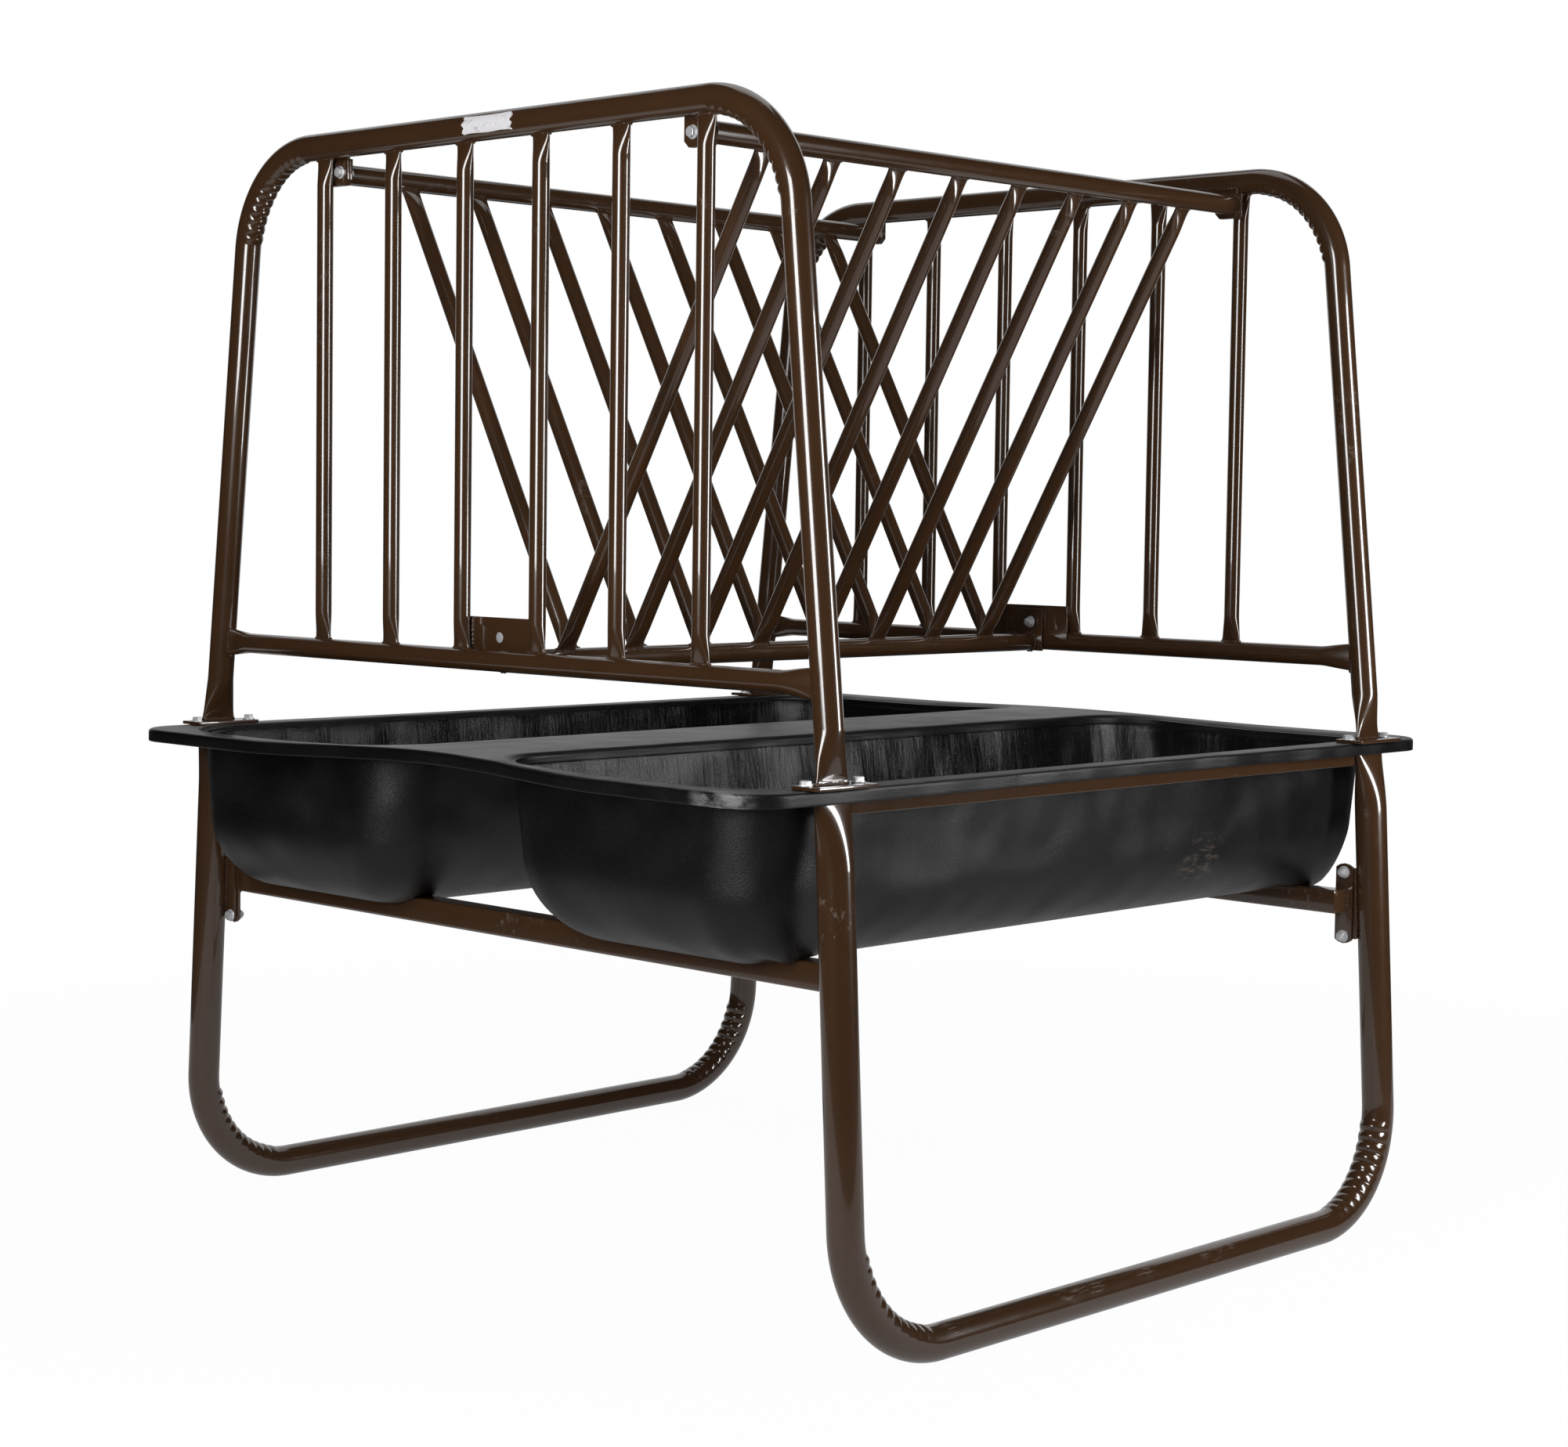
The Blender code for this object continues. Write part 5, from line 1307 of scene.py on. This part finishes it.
class FEEDER_OT_fasteners(bpy.types.Operator):
    """Make the bolts with their washers and nuts"""

    bl_idname = "feeder.fasteners"
    bl_label = "Fasteners"

    def execute(self, context):
        number = 0
        for end, sign in ENDS:
            for _, across in SIDES:
                for step in (-1, 1):
                    number += 1
                    x = FOOT_PLATE_X[end] + sign * step * FOOT_BOLT_STEP
                    seat = x, across * FOOT_BOLT_Y, FOOT_BOLT_SEAT
                    self.one(f"foot_bolt_{number}", seat, UP, FOOT_BOLT_GRIP)
        skin = Skin()
        for end, sign in ENDS:
            outward = sign * ALONG
            y, *heights = MEMBER_BOLTS[end]
            for side, across in SIDES:
                seat = sign * RACK_BOLT_X, RACK_BOLT_Y[side], RACK_TOP_Z
                self.one(f"rack_bolt_{end}_{side}", seat, outward, PLATES_GRIP)
                for z in heights:
                    bolt(skin, (sign * MEMBER_BOLT_X, across * y, z), outward, PLATES_GRIP)
            seat = sign * CARRIAGE_BOLT_X, *CARRIAGE_BOLT_PLACE
            self.one(f"carriage_bolt_{end}", seat, outward, PLATES_GRIP, True)
        skin.make("member_bolts", ZINC, sharp=CRISP)
        return {"FINISHED"}

    def one(self, node, seat, axis, grip, domed=False):
        """One bolt in the place of its solid."""
        skin = Skin()
        bolt(skin, seat, axis, grip, domed)
        skin.make(f"{node}_zinc", ZINC, node, sharp=CRISP)


class FEEDER_OT_seams(bpy.types.Operator):
    """Make the weld seams at plates, tabs, hangers, feet and rail ends"""

    bl_idname = "feeder.seams"
    bl_label = "Weld seams"

    def execute(self, context):
        skin = Skin()
        for end, sign in ENDS:
            for side, across in SIDES:
                self.hoop_ends(skin, sign, across)
                self.hanger(skin, sign, side, across)
                self.tab_and_member(skin, sign, across, PLATE_INNER[end])
            ring_bead(skin, (sign * BOTTOM_RAIL_BEAD_X, 0, RACK_BOTTOM_Z))
            self.end_plate(skin, end, sign)
        skin.make("frame_seams", WELD)
        return {"FINISHED"}

    def hoop_ends(self, skin, sign, across):
        """Beads round an end rail's end and round a foot."""
        axis = np.array((0, -across * FRAME_SPREAD, 1.0))
        leg = sign * FRAME_X, across * frame_leg_y(END_RAIL_Z), END_RAIL_Z
        bar_bead(skin, leg, axis, UP, -across * ACROSS, FRAME_D / 2, *END_RAIL_BEAD)
        w, t = flat_ring(*FOOT_BEAD)
        foot = np.array((sign * FRAME_X, across * FRAME_FOOT_Y, FRAME_FOOT_Z + FOOT_BEAD_UP))
        bead(skin, foot + w[:, None] * ALONG + t[:, None] * ACROSS)

    def hanger(self, skin, sign, side, across):
        """A bead round the rack rail's end and seams along both faces of the hanger's top edge."""
        ring_bead(skin, (sign * (RACK_RAIL_END_X - OVERLAP), RACK_Y[side], RACK_TOP_Z))
        inner, top = RACK_Y[side] - across * HANGER_IN, RACK_TOP_Z + HANGER_SEAM_ABOVE
        for face in HANGER_FACES:
            seam(skin, sign * face, (inner, top), (inner + across * HANGER_WIDTH, top))

    def tab_and_member(self, skin, sign, across, inner):
        """Seams between leg and tab, and between member and plate."""
        tab, lean = across * (leg_y(TAB_SEAM_MIDDLE_Z) - TAB_SEAM_IN), across * LEG_LEAN * TAB_SEAM_HALF
        low, high = TAB_SEAM_Z
        for face in TAB_FACES:
            seam(skin, sign * face, (tab + lean, low), (tab - lean, high), SIDE_SEAM_R)
        edge, reach = across * inner, across * MEMBER_HALF_LENGTH
        for z in (MEMBER_TOP_Z - MEMBER_EDGE_IN, MEMBER_TOP_Z - MEMBER_SIZE + MEMBER_EDGE_IN):
            seam(skin, sign * MEMBER_FACE, (edge, z), (reach, z), MEMBER_SEAM_R)
        low, high = MEMBER_END_Z
        seam(skin, sign * MEMBER_END_FACE, (reach, low), (reach, high), MEMBER_END_SEAM_R)

    def end_plate(self, skin, end, sign):
        """Seams up both sides of the wide plate, and then along its foot."""
        bars = (end_bar_y(end, 3), 1), (end_bar_y(end, 2), -1)
        low, high = END_PLATE_SIDE_Z
        for bar, turn in bars:
            side = bar + turn * END_PLATE_SIDE_Y
            seam(skin, sign * END_PLATE_FACE, (side, low), (side, high), SIDE_SEAM_R)
        for bar, turn in bars:
            foot, z = bar + turn * END_PLATE_FOOT_Y, END_PLATE_FOOT_Z
            seam(skin, sign * END_PLATE_FACE, (foot, z), (foot + turn * END_PLATE_FOOT_LENGTH, z))


class FEEDER_OT_label(bpy.types.Operator):
    """Make the blank silvery label on the near top rail"""

    bl_idname = "feeder.label"
    bl_label = "Label"

    def execute(self, context):
        # A film round the rail: reach + crinkles times (-cos e, sin e), with e and y inside wavy edges.
        # The crinkles are waves along and across that grow towards the film's two ends.
        y = np.linspace(0, 1, 90)[:, None]
        share = np.linspace(0, 1, 30)[None]
        ends = np.abs(2 * y - 1) ** 3
        wave = np.sin(37 * y + 5 * share) * np.sin(9 * share + 11 * y * y) + 0.6 * np.sin(61 * share - 23 * y)
        low = LABEL_TURN[0] + 2.0 * np.sin(9 * y) - 3.0 * ends
        high = LABEL_TURN[1] + 1.0 * np.sin(7 * y + 1) + 2.0 * ends
        turn = np.radians(low + (high - low) * share)
        place = LABEL_Y[0] + (LABEL_Y[1] - LABEL_Y[0]) * y + 0.003 * ends * np.sin(14 * share) + 0 * turn
        rounded = np.sin(np.pi * np.clip(share, 0.02, 0.98)) ** 0.3
        reach = FRAME_D / 2 + LABEL_LIFT + LABEL_LIFT * wave * (0.25 + ends) * rounded
        outer, inner = (
            np.stack((-FRAME_X - away * np.cos(turn), place, FRAME_TOP_Z + away * np.sin(turn)), axis=-1)
            for away in (reach, FRAME_D / 2 - LABEL_LIFT + 0 * reach)
        )
        skin = Skin()
        skin.solid(np.concatenate((outer, inner[:, ::-1]), axis=1))
        skin.make("blank_label", LABEL, sharp=60.0)
        return {"FINISHED"}


class FEEDER_OT_stage(bpy.types.Operator):
    """Set up the floor, the lamps, the pale surroundings and the camera"""

    bl_idname = "feeder.stage"
    bl_label = "Studio"

    def execute(self, context):
        scene, settings = context.scene, context.scene.feeder_stage
        self.floor(settings)
        self.flats(settings)
        self.surroundings(scene, settings)
        self.lamps(settings)
        self.camera(scene)
        scene.view_settings.view_transform = "Standard"
        return {"FINISHED"}

    def floor(self, settings):
        """A large pale floor that fades to plain white away from the feeder and keeps its shadow."""
        g = Graph(bpy.data.materials.new("studio_floor"))
        spot = g.node("ShaderNodeTexCoord", out="Object")
        away = g.node("ShaderNodeVectorMath", {"operation": "LENGTH"}, {0: spot}, "Value")
        shade = g.blend(g.noise(40.0), (0.90, 0.90, 0.90), (0.94, 0.94, 0.94))
        values = {"Base Color": shade, "Roughness": 0.9, "Specular IOR Level": 0.0}
        lit = g.node("ShaderNodeBsdfPrincipled", None, values)
        white = g.emit("ShaderNodeEmission", 1.0)
        fade = settings.floor_white + (1 - settings.floor_white) * away.step(*FLOOR_FADE)
        mixed = g.node("ShaderNodeMixShader", None, {0: g.looked_at() * fade, 1: lit, 2: white})
        g.output("ShaderNodeOutputMaterial", mixed)
        mesh = bpy.data.meshes.new("studio_floor")
        reach = (-FLOOR_HALF, FLOOR_HALF)
        mesh.from_pydata([(*corner, 0) for corner in rectangle(reach, reach)], [], [(0, 1, 2, 3)])
        mesh.materials.append(g.owner)
        linked("studio_floor", mesh)

    def flats(self, settings):
        """Cloth laid and hung round the feeder, grey below and behind it, which only reflections see.

        A point is (q cos a, q sin a, h): the laid part has h = 0, and the hung parts are a dome of radius R,
        q = R cos e and h = R sin e. The grey part spans the angles a of the backdrop up to 50 degrees.
        """
        middle, gap = math.radians(FLATS_MIDDLE), settings.backdrop_half
        around = np.linspace(middle + gap, middle + 2 * np.pi - gap, 60)
        behind = np.linspace(middle - gap, middle + gap, 13)
        whole = np.linspace(0, 2 * np.pi, 73)
        low, high = np.radians(np.linspace(0, BACKDROP_TOP, 8)), np.radians(np.linspace(BACKDROP_TOP, 89, 10))
        r, near = FLATS_R, 0.999 * FLATS_R
        laid, under = np.linspace(settings.cloth_from, r, 10), np.linspace(0.01, settings.cloth_from, 6)
        dark = (
            (whole, laid, 0 * laid),
            (around, r * np.cos(low), r * np.sin(low)),
            (whole, r * np.cos(high), r * np.sin(high)),
        )
        grey = (behind, near * np.cos(low), near * np.sin(low))
        self.hang("dark_flats", "dark_cloth", dark, 0.0)
        self.hang("grey_flat", "grey_cloth", (grey,), settings.backdrop_grey)
        self.hang("floor_flat", "floor_cloth", ((whole, under, 0 * under),), settings.floor_grey)

    def hang(self, name, cloth, parts, glow):
        """Make one flat of its parts, of dark or softly lit cloth that only reflections see."""
        g = Graph(bpy.data.materials.new(cloth))
        shade = g.blend(g.noise(90.0, 1.0), (0.010, 0.010, 0.010), (0.020, 0.020, 0.020))
        g.finish(Base_Color=shade, Roughness=0.9, Emission_Color=(1, 1, 1, 1), Emission_Strength=glow)
        points, faces, count = [], [], 0
        for a, reach, rise in parts:
            a, reach, rise = a[None], reach[:, None], rise[:, None]
            grid = np.stack((reach * np.cos(a), reach * np.sin(a), FLOOR_GAP + rise + 0 * a), axis=-1)
            index = np.arange(grid.size // 3).reshape(grid.shape[:2]) + count
            count += index.size
            points.append(grid.reshape(-1, 3))
            quads = np.stack((index[:-1, :-1], index[1:, :-1], index[1:, 1:], index[:-1, 1:]), axis=-1)
            faces.append(quads.reshape(-1, 4))
        mesh = bpy.data.meshes.new(name)
        mesh.from_pydata(np.concatenate(points).tolist(), [], np.concatenate(faces).tolist())
        mesh.materials.append(g.owner)
        flat = linked(name, mesh)
        for ray in ("camera", "diffuse", "transmission", "shadow"):
            setattr(flat, f"visible_{ray}", False)

    def surroundings(self, scene, settings):
        """White where the camera, a reflection or a clear piece looks, and soft light elsewhere."""
        scene.world = bpy.data.worlds.new("studio")
        g = Graph(scene.world)
        soft, pale = (g.emit("ShaderNodeBackground", strength) for strength in (settings.ambient, 1.0))
        mixed = g.node("ShaderNodeMixShader", None, {0: g.looked_at(), 1: soft, 2: pale})
        g.output("ShaderNodeOutputWorld", mixed)

    def lamps(self, settings):
        """Two tall strips beside the camera and a wide soft light overhead.

        A strip's power is its radiance times pi times its area.
        """
        wide, bright = settings.strip_width, settings.strip_radiance
        for name, place, aim_z, width, tall, radiance in (
            ("strip_left", (-2.95, -1.05, 1.80), 1.80, wide, 1.6, bright),
            ("strip_right", (0.88, -2.38, 1.30), 1.30, 0.55 * wide, 1.25, 1.4 * bright),
            ("overhead", (0.60, 0.60, 4.40), 0.9, 2.0, 2.0, settings.overhead_radiance),
        ):
            lamp = bpy.data.lights.new(name, "AREA")
            lamp.shape = "RECTANGLE"
            lamp.size, lamp.size_y = width, tall
            lamp.energy = radiance * math.pi * width * tall
            piece = linked(name, lamp)
            piece.location = place
            target = Vector((0, 0, aim_z)) - piece.location
            piece.rotation_euler = target.to_track_quat("-Z", "Y").to_euler()
            piece.visible_camera = False

    def camera(self, scene):
        """The photograph's camera: its place, its turn and its lens."""
        yaw, pitch, roll = (math.radians(v) for v in CAMERA_TURN)
        forward = Vector((math.cos(yaw) * math.cos(pitch), math.sin(yaw) * math.cos(pitch), -math.sin(pitch)))
        level = Vector((math.sin(yaw), -math.cos(yaw), 0))
        right = level * math.cos(roll) + level.cross(forward) * math.sin(roll)
        turn = Matrix((right, right.cross(forward), -forward)).transposed().to_4x4()
        width, height = PHOTO_SIZE
        lens = bpy.data.cameras.new("photo_camera")
        lens.sensor_width = SENSOR
        lens.lens = PHOTO_FOCAL / width * SENSOR
        lens.shift_x = (width / 2 - PHOTO_CENTRE[0]) / width
        lens.shift_y = (PHOTO_CENTRE[1] - height / 2) / width
        lens.clip_start, lens.clip_end = 0.1, 100.0
        camera = linked("photo_camera", lens)
        camera.matrix_world = Matrix.Translation(CAMERA_PLACE) @ turn
        scene.camera = camera


class FeederSizes(bpy.types.PropertyGroup):
    """Sizes that a user may change without leaving the solids"""

    ripple_height: bpy.props.FloatProperty(
        name="Crush ripples", description="How far the ripples stand out inside each bend",
        default=0.0040, min=0.0, max=0.006, unit="LENGTH",
    )


class FeederFinish(bpy.types.PropertyGroup):
    """Colours and gloss"""

    coat_colour: bpy.props.FloatVectorProperty(
        name="Powder coat", description="Colour of the coated steel",
        default=linear((62, 41, 24)), min=0.0, max=1.0, subtype="COLOR",
    )
    coat_roughness: bpy.props.FloatProperty(
        name="Coat roughness", description="Roughness of the powder coat", default=0.22, min=0.0, max=1.0,
    )
    poly_colour: bpy.props.FloatVectorProperty(
        name="Trough", description="Colour of the moulded trough",
        default=linear((8, 8, 9)), min=0.0, max=1.0, subtype="COLOR",
    )
    poly_roughness: bpy.props.FloatProperty(
        name="Trough roughness", description="Roughness of the moulded trough",
        default=0.34, min=0.0, max=1.0,
    )


class FeederStage(bpy.types.PropertyGroup):
    """Light of the studio"""

    ambient: bpy.props.FloatProperty(
        name="Ambient", description="Strength of the light from all round", default=0.30, min=0.0, max=2.0,
    )
    strip_radiance: bpy.props.FloatProperty(
        name="Strip lights", description="Radiance of the tall strips", default=11.0, min=0.0,
    )
    strip_width: bpy.props.FloatProperty(
        name="Strip width", description="Width of the tall strips", default=1.0, min=0.1, unit="LENGTH",
    )
    overhead_radiance: bpy.props.FloatProperty(
        name="Overhead light", description="Radiance of the light above", default=0.8, min=0.0,
    )
    floor_white: bpy.props.FloatProperty(
        name="Floor", description="Share of plain white in the floor near the feeder",
        default=0.97, min=0.0, max=1.0,
    )
    cloth_from: bpy.props.FloatProperty(
        name="Cloth", description="Where the dark cloth begins on the floor",
        default=2.6, min=0.1, unit="LENGTH",
    )
    floor_grey: bpy.props.FloatProperty(
        name="Floor glow", description="Brightness of the near floor in reflections",
        default=0.34, min=0.0, max=1.0,
    )
    backdrop_half: bpy.props.FloatProperty(
        name="Backdrop", description="Half the angle that the grey backdrop spans",
        default=math.radians(40.0), subtype="ANGLE",
    )
    backdrop_grey: bpy.props.FloatProperty(
        name="Backdrop glow", description="Brightness of the backdrop in reflections",
        default=0.55, min=0.0, max=1.0,
    )


SETTINGS = {"feeder_sizes": FeederSizes, "feeder_finish": FeederFinish, "feeder_stage": FeederStage}
MAKERS = (
    FEEDER_OT_finishes, FEEDER_OT_trough, FEEDER_OT_under_frame, FEEDER_OT_leg_hoops,
    FEEDER_OT_end_hoops, FEEDER_OT_end_frames, FEEDER_OT_rack, FEEDER_OT_fasteners,
    FEEDER_OT_seams, FEEDER_OT_label, FEEDER_OT_stage,
)


class FEEDER_PT_panel(bpy.types.Panel):
    """Lists the feeder's settings and the steps that build it"""

    bl_idname = "FEEDER_PT_panel"
    bl_label = "Horse feeder"
    bl_space_type = "VIEW_3D"
    bl_region_type = "UI"
    bl_category = "Feeder"

    def draw(self, context):
        for group in SETTINGS:
            box = self.layout.box()
            for key in SETTINGS[group].__annotations__:
                box.prop(getattr(context.scene, group), key)
        for maker in MAKERS:
            self.layout.operator(maker.bl_idname)


def register():
    for group in (*SETTINGS.values(), *MAKERS, FEEDER_PT_panel):
        bpy.utils.register_class(group)
    for key, group in SETTINGS.items():
        setattr(bpy.types.Scene, key, bpy.props.PointerProperty(type=group))


def unregister():
    for key in SETTINGS:
        delattr(bpy.types.Scene, key)
    for group in reversed((*SETTINGS.values(), *MAKERS, FEEDER_PT_panel)):
        bpy.utils.unregister_class(group)


def main():
    """Register the add-on and run its steps in order."""
    register()
    bpy.ops.feeder.finishes()
    bpy.ops.feeder.trough()
    bpy.ops.feeder.under_frame()
    bpy.ops.feeder.leg_hoops()
    bpy.ops.feeder.end_hoops()
    bpy.ops.feeder.end_frames()
    bpy.ops.feeder.rack()
    bpy.ops.feeder.fasteners()
    bpy.ops.feeder.seams()
    bpy.ops.feeder.label()
    bpy.ops.feeder.stage()


if __name__ == "__main__":
    main()
